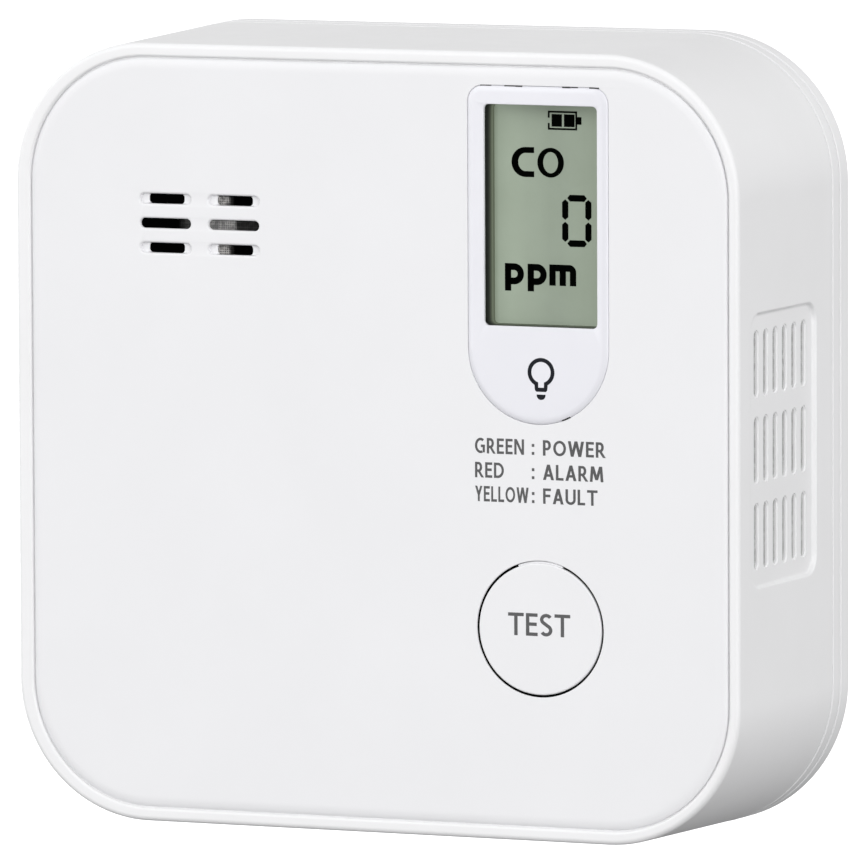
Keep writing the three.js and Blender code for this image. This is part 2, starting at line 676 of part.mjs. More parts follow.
const boardGroup = new THREE.Group();
const standing = [Math.PI, 0, 0]; // turns a part drawn towards -Y to stand towards +Y
const onBoard = (x, z) => [x, BOARD.back + SOLDER, z];
boardGroup.add(
  piece('main_board', mainBoard(), greenBoard),
  piece('microcontroller', chip(10, 10, 1.6, 8, 1.1), chipBlack, onBoard(-12, 26), standing),
  piece('sensor_amplifier', chip(3.9, 5, 1.5, 4, 1.27), chipBlack, onBoard(14, 12), standing),
  piece('bulk_capacitor', capacitor(), blackPlastic, onBoard(-34, 14)),
  piece('boost_inductor', inductor(), chipBlack, onBoard(-22, 8)),
  piece('crystal', crystal(), steel, onBoard(-12, 38)),
  piece('sounder_housing', sounderHousing(), blackPlastic),
  piece('sounder_mesh', sounderMesh(), greyMesh),
  piece('piezo_disc', piezoDisc(), brass),
  piece('co_sensor_body', sensorBody(), whiteInner),
  piece('co_sensor_cap', sensorCap(), blackPlastic),
);

const batteryGroup = new THREE.Group();
const cellX = (BAY.left + BAY.right) / 2;
const flipped = [0, 0, Math.PI]; // turns a part drawn towards +X to face -X
const mirroredBody = (body) => body.mirror([1, 0, 0]);
const leftEnd = BAY.left + 0.2;
const rightEnd = BAY.right - 0.2;
const cellPlate = (z) => contactPlate(z - CONTACT.half, z + CONTACT.half);
const bridgePlate = contactPlate(cellZ[1] - CONTACT.half, cellZ[0] + CONTACT.half);
batteryGroup.add(
  piece('battery_1', cell(), cellJacket, [cellX, CELL.y, cellZ[0]]),
  piece('battery_2', cell(), cellJacket, [cellX, CELL.y, cellZ[1]], flipped),
  piece('battery_bridge_contact',
    join(bridgePlate, contactLeaf(cellZ[0]), contactDimple(cellZ[1])),
    steel, [leftEnd, 0, 0]),
  piece('battery_positive_contact',
    mirroredBody(join(cellPlate(cellZ[0]), contactDimple(cellZ[0]))),
    steel, [rightEnd, 0, 0]),
  piece('battery_negative_contact',
    mirroredBody(join(cellPlate(cellZ[1]), contactLeaf(cellZ[1]))),
    steel, [rightEnd, 0, 0]),
);

const screwGroup = new THREE.Group();
bossPlaces.forEach(([x, z], i) => {
  screwGroup.add(piece(`case_screw_${i + 1}`, screw(CASE_SCREW), steel, [x, COVER_BACK - 0.3, z]));
});
postPlaces.forEach(([x, z], i) => {
  const y = BOARD.back + SOLDER + BOARD_SCREW.headHeight;
  screwGroup.add(piece(`board_screw_${i + 1}`, screw(BOARD_SCREW), steel, [x, y, z]));
});

const detector = new THREE.Group();
detector.add(caseGroup, displayGroup, buttonGroup, boardGroup, batteryGroup, screwGroup);

export default detector;
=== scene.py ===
"""Looks of the carbon monoxide detector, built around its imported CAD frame.

Lengths in this script are millimetres until a mesh is made. The front faces -Y, X is right and Z is up.
"""

import json
import math

import bmesh
import bpy
from mathutils import Matrix, Vector
from mathutils.geometry import tessellate_polygon


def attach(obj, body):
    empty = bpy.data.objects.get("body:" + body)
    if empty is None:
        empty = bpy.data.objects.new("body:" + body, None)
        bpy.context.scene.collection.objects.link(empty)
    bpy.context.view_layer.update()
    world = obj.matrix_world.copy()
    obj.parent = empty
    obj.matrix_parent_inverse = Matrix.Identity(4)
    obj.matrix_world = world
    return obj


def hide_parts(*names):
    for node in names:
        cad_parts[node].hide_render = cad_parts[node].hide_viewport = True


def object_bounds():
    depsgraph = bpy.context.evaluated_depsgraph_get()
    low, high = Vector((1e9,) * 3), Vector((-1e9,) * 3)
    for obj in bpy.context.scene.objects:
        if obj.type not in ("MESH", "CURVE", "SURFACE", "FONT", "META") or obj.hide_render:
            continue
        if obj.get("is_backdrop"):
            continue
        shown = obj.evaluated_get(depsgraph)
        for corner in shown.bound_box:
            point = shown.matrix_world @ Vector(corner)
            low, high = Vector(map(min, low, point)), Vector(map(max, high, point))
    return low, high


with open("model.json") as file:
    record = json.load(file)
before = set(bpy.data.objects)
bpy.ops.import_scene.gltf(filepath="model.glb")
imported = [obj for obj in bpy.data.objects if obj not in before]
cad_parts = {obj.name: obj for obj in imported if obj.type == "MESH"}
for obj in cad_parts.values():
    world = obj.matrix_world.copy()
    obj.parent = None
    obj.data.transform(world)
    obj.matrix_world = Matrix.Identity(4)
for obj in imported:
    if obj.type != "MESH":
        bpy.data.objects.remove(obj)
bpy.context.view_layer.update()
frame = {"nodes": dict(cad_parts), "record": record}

MM = 0.001

# ---------- Dimensions shared with the CAD frame ----------

HALF = 50
CORNER, CORNER_STEPS = 18.6, 28
FRONT = -34.5
PLATE_FRONT = -2.7
COVER_BACK, COVER_FRONT = -2.9, -5.2
HOUSING_BACK = -5.4
BACK_INSET, FRONT_INSET = 0.15, 0.95
RIM_INSIDE = 2.65
PANEL_INSET = 2.95
PANEL_BACK = -32.5
LEDGE_FRONT, LEDGE_BACK, LEDGE_INSET = -32.3, -30.5, 7.5
WALL = 2.2
BOSS_AT = 39.7
POST_X, POST_Z = 41.5, 27.0
BOARD_FRONT = -22.4

FRAME_FRONT = -34.68
OPENING = dict(left=12.85, right=31.75, bottom=2.95, top=44.9, corner=2.1)
WINDOW = (22.7, 28.83, 15.15, 27.45, 0.62)
LCD_FACE = -31.85
BUTTON_X, BUTTON_Z, BUTTON_HOLE, CAP_RADIUS = 22.42, -22.5, 8.52, 8.22
TONGUE = 3.0
SOUND_X, SOUND_Z, SOUND_COLUMN, SOUND_ROW = -23.65, 26.47, 9.36, 3.08
VENT = dict(front=-31.0, back=-10.4, low=-16.9, high=17.15, corner=2.5, floor=49.1)
VENT_SLOT = dict(first=5.6, pitch=3.12, middle=0.2, row_pitch=10.7, width=1.4, length=8.05, corner=0.69)
HOOKS = [(-20, 36), (20, 36), (-38, -24), (38, -24)]
BAY = (-31, -40, 26, -9)
BAY_FLOOR, BAY_OUTSIDE = -18.6, -20.1


# ---------- Outlines: each takes how far to grow and gives its points ----------


def rounded(left, bottom, right, top, radius, steps=8):
    def outline(grow=0.0):
        r = max(radius + grow, 0.01)
        centres = [
            (right + grow - r, bottom - grow + r, -90),
            (right + grow - r, top + grow - r, 0),
            (left - grow + r, top + grow - r, 90),
            (left - grow + r, bottom - grow + r, 180),
        ]
        points = []
        for x, z, start in centres:
            for i in range(steps + 1):
                a = math.radians(start + 90 * i / steps)
                points.append((x + r * math.cos(a), z + r * math.sin(a)))
        return points

    return outline


def centred(x, z, width, height, radius, steps=8):
    return rounded(x - width / 2, z - height / 2, x + width / 2, z + height / 2, radius, steps)


def on_circle(x, z, radius, turns):
    return [(x + radius * math.cos(a), z + radius * math.sin(a)) for a in turns]


def circle(x, z, radius, steps=96):
    def outline(grow=0.0):
        return on_circle(x, z, radius + grow, [2 * math.pi * i / steps for i in range(steps)])

    return outline


def display_outline(grow=0.0):
    left, right = OPENING["left"] - grow, OPENING["right"] + grow
    radius = (right - left) / 2
    low = OPENING["bottom"] - grow + radius
    corner = OPENING["corner"] + grow
    high = OPENING["top"] + grow - corner
    arcs = [
        ((left + right) / 2, low, radius, 180, 360, 48),
        (right - corner, high, corner, 0, 90, 12),
        (left + corner, high, corner, 90, 180, 12),
    ]
    points = []
    for x, z, r, start, end, steps in arcs:
        for i in range(steps + 1):
            a = math.radians(start + (end - start) * i / steps)
            points.append((x + r * math.cos(a), z + r * math.sin(a)))
    return points


case = rounded(-HALF, -HALF, HALF, HALF, CORNER, CORNER_STEPS)
window = centred(*WINDOW, 6)

# Segments of a case ring that are its flat right and left sides.
RIGHT_SIDE, LEFT_SIDE = CORNER_STEPS, 3 * CORNER_STEPS + 2


def quarter(start, end, steps=5):
    """Points of a quarter round, leaving along the second coordinate and arriving along the first."""
    (a0, b0), (a1, b1) = start, end
    turns = [math.pi / 2 * i / steps for i in range(steps + 1)]
    return [(a0 + (a1 - a0) * (1 - math.cos(t)), b0 + (b1 - b0) * math.sin(t)) for t in turns]


def inward(section):
    """A section given as insets and depths, as the amounts to grow that level() takes."""
    return [(-inset, y) for inset, y in section]


# ---------- Mesh building ----------


class Shell:
    """Rings of points joined by skins and closed by flat caps."""

    def __init__(self):
        self.points = []
        self.faces = []

    def ring(self, points):
        start = len(self.points)
        self.points.extend(points)
        return list(range(start, len(self.points)))

    def level(self, outline, grow, y):
        return self.ring([(x, y, z) for x, z in outline(grow)])

    def levels(self, outline, profile):
        rings = [self.level(outline, grow, y) for grow, y in profile]
        for a, b in zip(rings, rings[1:]):
            self.skin(a, b)
        return rings

    def skin(self, a, b, skip=()):
        count = len(a)
        for j in range(count):
            if j not in skip:
                k = (j + 1) % count
                self.faces.append((a[j], a[k], b[k], b[j]))

    def cap(self, loops, axes=(0, 2)):
        corners = [[self.points[i] for i in loop] for loop in loops]
        flat = [[Vector((point[axes[0]], point[axes[1]], 0)) for point in loop] for loop in corners]
        order = [i for loop in loops for i in loop]
        for a, b, c in tessellate_polygon(flat):
            self.faces.append((order[a], order[b], order[c]))

    def prism(self, loops, front, back):
        """A closed flat solid from an outline and its holes, given as lists of (x, z)."""
        fronts = [self.ring([(x, front, z) for x, z in loop]) for loop in loops]
        backs = [self.ring([(x, back, z) for x, z in loop]) for loop in loops]
        for a, b in zip(fronts, backs):
            self.skin(a, b)
        self.cap(fronts)
        self.cap(backs)

    def turned(self, profile, x, z, steps=64):
        """A solid turned about a front-to-back axis from (radius, y) points. A radius of 0 makes a tip."""
        rings = []
        for radius, y in profile:
            if radius == 0:
                rings.append(self.ring([(x, y, z)]))
            else:
                rings.append(self.level(circle(x, z, radius, steps), 0, y))
        for a, b in zip(rings, rings[1:]):
            if len(a) == len(b):
                self.skin(a, b)
            else:
                tip, ring = (a, b) if len(a) == 1 else (b, a)
                for j in range(len(ring)):
                    self.faces.append((tip[0], ring[j], ring[(j + 1) % len(ring)]))
        return rings

    def tube(self, x, z, outer, inner, front, back, steps=32):
        rings = self.turned([(inner, front), (outer, front), (outer, back), (inner, back)], x, z, steps)
        self.skin(rings[-1], rings[0])

    def box(self, low, high):
        (x0, y0, z0), (x1, y1, z1) = low, high
        self.prism([[(x0, z0), (x1, z0), (x1, z1), (x0, z1)]], y0, y1)


SHARP_ANGLE = math.radians(38)


def make(name, shell, body, material, replaced=()):
    mesh = bpy.data.meshes.new(name)
    mesh.from_pydata([(x * MM, y * MM, z * MM) for x, y, z in shell.points], [], shell.faces)
    work = bmesh.new()
    work.from_mesh(mesh)
    bmesh.ops.remove_doubles(work, verts=work.verts, dist=1e-8)
    bmesh.ops.recalc_face_normals(work, faces=work.faces)
    work.to_mesh(mesh)
    work.free()
    mesh.shade_smooth()
    mesh.set_sharp_from_angle(angle=SHARP_ANGLE)
    piece = bpy.data.objects.new(name, mesh)
    bpy.context.scene.collection.objects.link(piece)
    weighted = piece.modifiers.new("normals", "WEIGHTED_NORMAL")
    weighted.keep_sharp = True
    weighted.mode = "FACE_AREA"
    piece.data.materials.append(material)
    if replaced:
        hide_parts(*replaced)
    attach(piece, body)


# ---------- Materials ----------


def linear(r, g, b):
    def channel(v):
        v /= 255
        return v / 12.92 if v <= 0.04045 else ((v + 0.055) / 1.055) ** 2.4

    return (channel(r), channel(g), channel(b), 1.0)


def grey(value, warm=0.0):
    return (value + warm, value, value - warm, 1.0)


def new_material(name):
    material = bpy.data.materials.new(name)
    material.use_nodes = True
    tree = material.node_tree
    coordinates = tree.nodes.new("ShaderNodeTexCoord")
    return material, tree, tree.nodes["Principled BSDF"], coordinates.outputs["Object"]


def add_noise(tree, vector, scale, detail=3.0, rough=0.55):
    noise = tree.nodes.new("ShaderNodeTexNoise")
    noise.inputs["Scale"].default_value = scale
    noise.inputs["Detail"].default_value = detail
    noise.inputs["Roughness"].default_value = rough
    tree.links.new(vector, noise.inputs["Vector"])
    return noise.outputs["Fac"]


def add_ramp(tree, factor, stops):
    ramp = tree.nodes.new("ShaderNodeValToRGB")
    elements = ramp.color_ramp.elements
    elements.remove(elements[1])
    elements[0].position, elements[0].color = stops[0]
    for place, colour in stops[1:]:
        elements.new(place).color = colour
    tree.links.new(factor, ramp.inputs["Fac"])
    return ramp.outputs["Color"]


def add_range(tree, value, low, high, to_low, to_high):
    node = tree.nodes.new("ShaderNodeMapRange")
    for name, number in (("From Min", low), ("From Max", high), ("To Min", to_low), ("To Max", to_high)):
        node.inputs[name].default_value = number
    tree.links.new(value, node.inputs["Value"])
    return node.outputs["Result"]


def add_mottle(tree, factor, dark, light):
    return add_ramp(tree, factor, [(0.3, dark), (0.7, light)])


def vary_roughness(tree, shader, factor, low, high):
    tree.links.new(add_range(tree, factor, 0.3, 0.7, low, high), shader.inputs["Roughness"])


def multiply_colours(tree, one, two):
    mix = tree.nodes.new("ShaderNodeMix")
    mix.data_type = "RGBA"
    mix.blend_type = "MULTIPLY"
    mix.inputs[0].default_value = 1.0
    tree.links.new(one, mix.inputs[6])
    tree.links.new(two, mix.inputs[7])
    return mix.outputs[2]


def add_bump(tree, shader, height, distance, strength):
    bump = tree.nodes.new("ShaderNodeBump")
    bump.inputs["Strength"].default_value = strength
    bump.inputs["Distance"].default_value = distance
    tree.links.new(height, bump.inputs["Height"])
    tree.links.new(bump.outputs["Normal"], shader.inputs["Normal"])


def moulded(name, dark, light, rough=(0.34, 0.42), grain=2600.0, depth=0.000004, specular=0.5):
    """Moulded plastic: a faint mottle in its colour and gloss over a very fine surface grain."""
    material, tree, shader, vector = new_material(name)
    mottle = add_noise(tree, vector, 60.0, 4.0)
    tree.links.new(add_mottle(tree, mottle, dark, light), shader.inputs["Base Color"])
    vary_roughness(tree, shader, add_noise(tree, vector, 320.0), *rough)
    shader.inputs["Specular IOR Level"].default_value = specular
    add_bump(tree, shader, add_noise(tree, vector, grain, 2.0), depth, 0.6)
    return material


def split_axis(tree, vector, axis):
    node = tree.nodes.new("ShaderNodeSeparateXYZ")
    tree.links.new(vector, node.inputs["Vector"])
    return node.outputs[axis]


def lcd_material():
    """Reflective display: grey-green, with a painted shadow along its left edge and a painted glow that lifts
    the shade near its edges.
    """
    material, tree, shader, vector = new_material("lcd_face")
    x = split_axis(tree, vector, "X")
    across = add_range(tree, x, 15.2 * MM, 30.4 * MM, 0.0, 1.0)
    # Painted shadow along the left edge and painted light towards the right edge.
    stops = [
        (0.0, (0.2, 0.24, 0.18, 1)),
        (0.05, (0.30, 0.352, 0.28, 1)),
        (0.3, (0.26, 0.303, 0.243, 1)),
        (0.6, (0.256, 0.298, 0.241, 1)),
        (1.0, (0.292, 0.34, 0.27, 1)),
    ]
    mottle = add_noise(tree, vector, 180.0, 5.0)
    tint = add_mottle(tree, mottle, (0.93, 0.93, 0.92, 1), (1.0, 1.0, 1.0, 1))
    colour = multiply_colours(tree, add_ramp(tree, across, stops), tint)
    tree.links.new(colour, shader.inputs["Base Color"])
    tree.links.new(colour, shader.inputs["Emission Color"])
    # Painted light: a glow, strongest near the edges, that lifts the shade falling there.
    levels = [(0.0, 0.52), (0.12, 0.42), (0.5, 0.22), (0.8, 0.3), (1.0, 0.52)]
    painted_light = add_ramp(tree, across, [(place, grey(level)) for place, level in levels])
    tree.links.new(painted_light, shader.inputs["Emission Strength"])
    vary_roughness(tree, shader, mottle, 0.34, 0.42)
    shader.inputs["Specular IOR Level"].default_value = 0.08
    add_bump(tree, shader, add_noise(tree, vector, 3000.0, 2.0), 0.000003, 0.5)
    return material


def holder_material():
    """Black holder whose inner wall has a painted reflection of the display's green and a painted glow close
    to the glass.
    """
    material, tree, shader, vector = new_material("lcd_holder_black_painted_reflection")
    y = split_axis(tree, vector, "Y")
    deep = add_range(tree, y, -34.2 * MM, -31.8 * MM, 0.0, 1.0)
    # Painted reflection: the black wall turns lighter and greener towards the display.
    stops = [
        (0.0, linear(4, 4, 4)),
        (0.4, linear(24, 26, 24)),
        (0.6, linear(46, 49, 43)),
        (0.8, linear(70, 75, 64)),
        (1.0, linear(98, 105, 90)),
    ]
    painted_reflection = add_ramp(tree, deep, stops)
    tree.links.new(painted_reflection, shader.inputs["Base Color"])
    tree.links.new(painted_reflection, shader.inputs["Emission Color"])
    # Painted light: a glow that rises towards the display.
    painted_light = add_ramp(tree, deep, [(0.0, grey(0.0)), (0.4, grey(0.35)), (1.0, grey(0.7))])
    tree.links.new(painted_light, shader.inputs["Emission Strength"])
    vary_roughness(tree, shader, add_noise(tree, vector, 900.0), 0.5, 0.6)
    shader.inputs["Specular IOR Level"].default_value = 0.15
    add_bump(tree, shader, add_noise(tree, vector, 2500.0), 0.000004, 0.5)
    return material


# Where the painted light and shade on the sounder's cloth begin and end along X.
SHADE_LEFT, SHADE_RIGHT = -33, -14


def woven_mesh(name, dark, light, pitch, painted_shade=None):
    """Fine woven cloth: crossing threads with dark holes. The optional last argument paints light and shade
    along X, as (x, level) steps.
    """
    material, tree, shader, vector = new_material(name)
    threads = []
    for direction in ("X", "Z"):
        wave = tree.nodes.new("ShaderNodeTexWave")
        wave.bands_direction = direction
        wave.inputs["Scale"].default_value = 0.314 / pitch
        wave.inputs["Distortion"].default_value = 0.6
        wave.inputs["Detail"].default_value = 1.0
        tree.links.new(vector, wave.inputs["Vector"])
        threads.append(wave.outputs["Fac"])
    weave = tree.nodes.new("ShaderNodeMath")
    weave.operation = "MAXIMUM"
    tree.links.new(threads[0], weave.inputs[0])
    tree.links.new(threads[1], weave.inputs[1])
    speckle = tree.nodes.new("ShaderNodeMath")
    speckle.operation = "MULTIPLY"
    tree.links.new(weave.outputs[0], speckle.inputs[0])
    uneven = add_range(tree, add_noise(tree, vector, 1800.0), 0.35, 0.65, 0.35, 1.1)
    tree.links.new(uneven, speckle.inputs[1])
    colour = add_ramp(tree, speckle.outputs[0], [(0.25, dark), (0.85, light)])
    # Painted light and shade: lit where light falls through the sound slots, dark elsewhere.
    if painted_shade:
        x = split_axis(tree, vector, "X")
        across = add_range(tree, x, SHADE_LEFT * MM, SHADE_RIGHT * MM, 0.0, 1.0)
        span = SHADE_RIGHT - SHADE_LEFT
        painted_fade = add_ramp(tree, across, [((at - SHADE_LEFT) / span, grey(level)) for at, level in painted_shade])
        colour = multiply_colours(tree, colour, painted_fade)
        shader.inputs["Specular IOR Level"].default_value = 0.02
    tree.links.new(colour, shader.inputs["Base Color"])
    shader.inputs["Roughness"].default_value = 0.9
    add_bump(tree, shader, weave.outputs[0], 0.00003, 0.8)
    return material


def glass_material():
    material, tree, shader, vector = new_material("lcd_glass_clear")
    tint = add_mottle(tree, add_noise(tree, vector, 90.0), (0.86, 0.9, 0.88, 1), (0.93, 0.96, 0.94, 1))
    tree.links.new(tint, shader.inputs["Base Color"])
    vary_roughness(tree, shader, add_noise(tree, vector, 400.0), 0.02, 0.06)
    shader.inputs["Transmission Weight"].default_value = 0.8
    shader.inputs["IOR"].default_value = 1.5
    return material


def board_material():
    """Green solder mask over a faint grid of copper tracks."""
    material, tree, shader, vector = new_material("circuit_board")
    bricks = tree.nodes.new("ShaderNodeTexBrick")
    bricks.inputs["Scale"].default_value = 300.0
    bricks.inputs["Mortar Size"].default_value = 0.04
    turn = tree.nodes.new("ShaderNodeMapping")
    turn.inputs["Rotation"].default_value = (math.pi / 2, 0, 0)
    tree.links.new(vector, turn.inputs["Vector"])
    tree.links.new(turn.outputs["Vector"], bricks.inputs["Vector"])
    for name, colour in (
        ("Color1", (0.012, 0.10, 0.035, 1)),
        ("Color2", (0.016, 0.13, 0.045, 1)),
        ("Mortar", (0.03, 0.2, 0.07, 1)),
    ):
        bricks.inputs[name].default_value = colour
    tree.links.new(bricks.outputs["Color"], shader.inputs["Base Color"])
    vary_roughness(tree, shader, add_noise(tree, vector, 500.0), 0.3, 0.45)
    add_bump(tree, shader, bricks.outputs["Fac"], 0.00003, 0.4)
    return material


def metal_material(name, dark, light, rough):
    material, tree, shader, vector = new_material(name)
    stretch = tree.nodes.new("ShaderNodeMapping")
    stretch.inputs["Scale"].default_value = (1.0, 1.0, 14.0)
    tree.links.new(vector, stretch.inputs["Vector"])
    brushed = add_noise(tree, stretch.outputs["Vector"], 700.0, 4.0)
    tree.links.new(add_mottle(tree, brushed, dark, light), shader.inputs["Base Color"])
    vary_roughness(tree, shader, brushed, *rough)
    shader.inputs["Metallic"].default_value = 1.0
    add_bump(tree, shader, brushed, 0.000006, 0.4)
    return material


def cell_material():
    """A cell's printed jacket: dark with a lighter band round one end."""
    material, tree, shader, vector = new_material("cell_jacket")
    x = split_axis(tree, vector, "X")
    stops = [
        (0.0, linear(48, 52, 60)),
        (0.72, linear(54, 58, 66)),
        (0.73, linear(150, 152, 156)),
        (1.0, linear(160, 162, 165)),
    ]
    along = add_range(tree, x, -28 * MM, 23 * MM, 0, 1)
    tree.links.new(add_ramp(tree, along, stops), shader.inputs["Base Color"])
    vary_roughness(tree, shader, add_noise(tree, vector, 300.0), 0.3, 0.42)
    return material


# Depth of the grain on glossy and printed surfaces, in metres.
FINE_GRAIN = 0.000001

shell_white = moulded("white_shell", (0.825, 0.825, 0.833, 1), (0.845, 0.845, 0.855, 1))
panel_white = moulded(
    "front_panel_white", (0.80, 0.80, 0.816, 1), (0.815, 0.815, 0.832, 1), rough=(0.42, 0.5)
)
frame_white = moulded(
    "display_frame_white",
    (0.755, 0.755, 0.80, 1),
    (0.775, 0.775, 0.82, 1),
    rough=(0.16, 0.22),
    depth=FINE_GRAIN,
)
inner_white = moulded("inner_white", (0.74, 0.74, 0.72, 1), (0.8, 0.8, 0.78, 1), rough=(0.5, 0.6))
led_white = moulded("led_lens", (0.7, 0.7, 0.66, 1), (0.82, 0.82, 0.78, 1), rough=(0.2, 0.3))
black_plastic = moulded("black_plastic", (0.006, 0.006, 0.006, 1), (0.012, 0.012, 0.012, 1), rough=(0.5, 0.6))
chip_black = moulded(
    "chip", (0.010, 0.010, 0.011, 1), (0.022, 0.022, 0.023, 1), rough=(0.55, 0.68), grain=1500.0
)
rubber = moulded("rubber_strip", (0.02, 0.02, 0.022, 1), (0.035, 0.035, 0.037, 1), rough=(0.75, 0.88))
print_grey = moulded(
    "print_grey", linear(84, 84, 85), linear(96, 96, 97), rough=(0.5, 0.6), depth=FINE_GRAIN, specular=0.2
)
print_black = moulded(
    "print_black", linear(14, 16, 24), linear(22, 25, 33), rough=(0.4, 0.5), depth=FINE_GRAIN, specular=0.15
)
segment_black = moulded(
    "lcd_segment",
    (0.0005, 0.0007, 0.0005, 1),
    (0.0015, 0.002, 0.0015, 1),
    rough=(0.6, 0.7),
    depth=FINE_GRAIN,
    specular=0.0,
)
lcd_face = lcd_material()
lcd_black = holder_material()
side_mesh = woven_mesh("dust_mesh", grey(0.35), grey(0.62), 0.00028)
# The sounder cloths have light and shade painted along X; the middle row's copy is painted to suit its own
# slots.
sound_mesh = woven_mesh(
    "sounder_cloth", grey(0.08), grey(0.36, 0.01), 0.00030,
    [(-33, 0), (-23.5, 0), (-23.3, 1), (-20.0, 1), (-19.6, 0.1), (-19.1, 0), (-14, 0)],
)
middle_mesh = woven_mesh(
    "sounder_cloth_middle", grey(0.1), grey(0.3, 0.005), 0.00030,
    [(-33, 0), (-26.6, 0), (-24.6, 0.3), (-23.5, 1), (-19.0, 0.9), (-18.6, 0.1), (-14, 0.05)],
)
clear_glass = glass_material()
board_green = board_material()
steel = metal_material("steel", grey(0.42), grey(0.62), (0.24, 0.36))
brass = metal_material("brass", (0.5, 0.34, 0.12, 1), (0.68, 0.48, 0.18, 1), (0.28, 0.4))
jacket = cell_material()

BY_SLOT = {
    "white_shell": shell_white,
    "display_frame": frame_white,
    "inner_white": inner_white,
    "led": led_white,
    "black_plastic": black_plastic,
    "mesh": side_mesh,
    "lcd_face": lcd_face,
    "lcd_glass": clear_glass,
    "lcd_reflector": steel,
    "rubber_strip": rubber,
    "circuit_board": board_green,
    "chip": chip_black,
    "steel": steel,
    "brass": brass,
    "cell_jacket": jacket,
}
for part in frame["record"]["subparts"]:
    target = frame["nodes"][part["node"]]
    target.data.materials.clear()
    target.data.materials.append(BY_SLOT[part["material_slot"]])


# ---------- Case ----------

EDGE_ROUND = 0.2
RIM_ROUND = 0.7
RIM_LIP = 0.34
SHELF = FRONT + 0.5
GROOVE_SHIFT = 0.3
# Section points with an inset between these follow the groove. The walls' inner rear edge is among them.
GROOVE_NEAR, GROOVE_FAR = 2.2, 3
WALL_BACK, WALL_FRONT = HOUSING_BACK - EDGE_ROUND, FRONT + RIM_ROUND


def outer_inset(y):
    return BACK_INSET + (FRONT_INSET - BACK_INSET) * (WALL_BACK - y) / (WALL_BACK - WALL_FRONT)


def inner_inset(y):
    return BACK_INSET + WALL + (FRONT_INSET - BACK_INSET) * (HOUSING_BACK - y) / (HOUSING_BACK - LEDGE_BACK)


def vent_slot(column, row):
    y = FRONT + VENT_SLOT["first"] + VENT_SLOT["pitch"] * column
    z = VENT_SLOT["middle"] + VENT_SLOT["row_pitch"] * row
    return centred(y, z, VENT_SLOT["width"], VENT_SLOT["length"], VENT_SLOT["corner"], 6)


VENT_SLOTS = [vent_slot(column, row) for row in (-1, 0, 1) for column in range(6)]


def vent_side(shell, side, outer_loop, inner_loop):
    """One flat side wall with its shallow pocket and its slots. side is 1 for right and -1 for left."""

    def on_wall(outline, grow, share):
        ring = []
        for y, z in outline(grow):
            surface = HALF - outer_inset(y)
            ring.append((side * (surface - share * max(surface - VENT["floor"], 0)), y, z))
        return shell.ring(ring)

    pocket = rounded(VENT["front"], VENT["low"], VENT["back"], VENT["high"], VENT["corner"], 8)
    sides = [(0.2, 0.0), (0.1, 0.06), (0.0, 0.24), (-0.08, 0.52), (-0.16, 0.78), (-0.28, 0.95), (-0.4, 1.0)]
    lips = [on_wall(pocket, grow, share) for grow, share in sides]
    for a, b in zip(lips, lips[1:]):
        shell.skin(a, b)
    shell.cap([outer_loop, lips[0]], (1, 2))
    floor_holes, inner_holes = [], []
    for slot in VENT_SLOTS:
        rings = []
        for grow, depth in quarter((0.2, 0.0), (0.0, 0.2), 4):
            rings.append(shell.ring([(side * (VENT["floor"] - depth), y, z) for y, z in slot(grow)]))
        rings.append(shell.ring([(side * (HALF - inner_inset(y)), y, z) for y, z in slot(0.0)]))
        for a, b in zip(rings, rings[1:]):
            shell.skin(a, b)
        floor_holes.append(rings[0])
        inner_holes.append(rings[-1])
    shell.cap([lips[-1], *floor_holes], (1, 2))
    shell.cap([inner_loop, *inner_holes], (1, 2))


def groove(grow):
    """The case outline as the groove follows it, a little to the right."""
    return [(x + GROOVE_SHIFT, z) for x, z in case(grow)]


def build_housing():
    shell = Shell()
    rear_steps = 4
    rear_round = quarter((BACK_INSET, WALL_BACK), (BACK_INSET + EDGE_ROUND, HOUSING_BACK), rear_steps)
    section = [
        (BACK_INSET + WALL, HOUSING_BACK),
        *reversed(rear_round),
        *quarter((FRONT_INSET, WALL_FRONT), (FRONT_INSET + RIM_ROUND, FRONT), 8),
        *reversed(quarter((RIM_INSIDE, FRONT + RIM_LIP), (RIM_INSIDE - RIM_LIP, FRONT), 6)),
        (RIM_INSIDE, SHELF),
        (PANEL_INSET - 0.04, SHELF),
        (PANEL_INSET - 0.04, LEDGE_FRONT),
        (LEDGE_INSET, LEDGE_FRONT),
        (LEDGE_INSET, LEDGE_BACK),
        (FRONT_INSET + WALL, LEDGE_BACK),
    ]
    rings = []
    for inset, y in section:
        outline = groove if GROOVE_NEAR < inset < GROOVE_FAR else case
        rings.append(shell.level(outline, -inset, y))
    wall_a = rear_steps + 1
    wall_b = wall_a + 1
    last = len(rings) - 1
    for i, a in enumerate(rings):
        b = rings[(i + 1) % len(rings)]
        shell.skin(a, b, (RIGHT_SIDE, LEFT_SIDE) if i in (wall_a, last) else ())
    for side, j in ((1, RIGHT_SIDE), (-1, LEFT_SIDE)):
        outer = [rings[wall_a][j], rings[wall_a][j + 1], rings[wall_b][j + 1], rings[wall_b][j]]
        inner = [rings[last][j], rings[last][j + 1], rings[0][j + 1], rings[0][j]]
        vent_side(shell, side, outer, inner)
    for x in (-1, 1):
        for z in (-1, 1):
            shell.tube(x * BOSS_AT, z * BOSS_AT, 3.2, 1.35, LEDGE_BACK - 0.5, HOUSING_BACK - 1.1)
            shell.tube(x * POST_X, z * POST_Z, 2.6, 1.25, LEDGE_BACK - 0.5, BOARD_FRONT)
    return shell


make("front_housing_shell", build_housing(), "detector", shell_white, ["front_housing"])

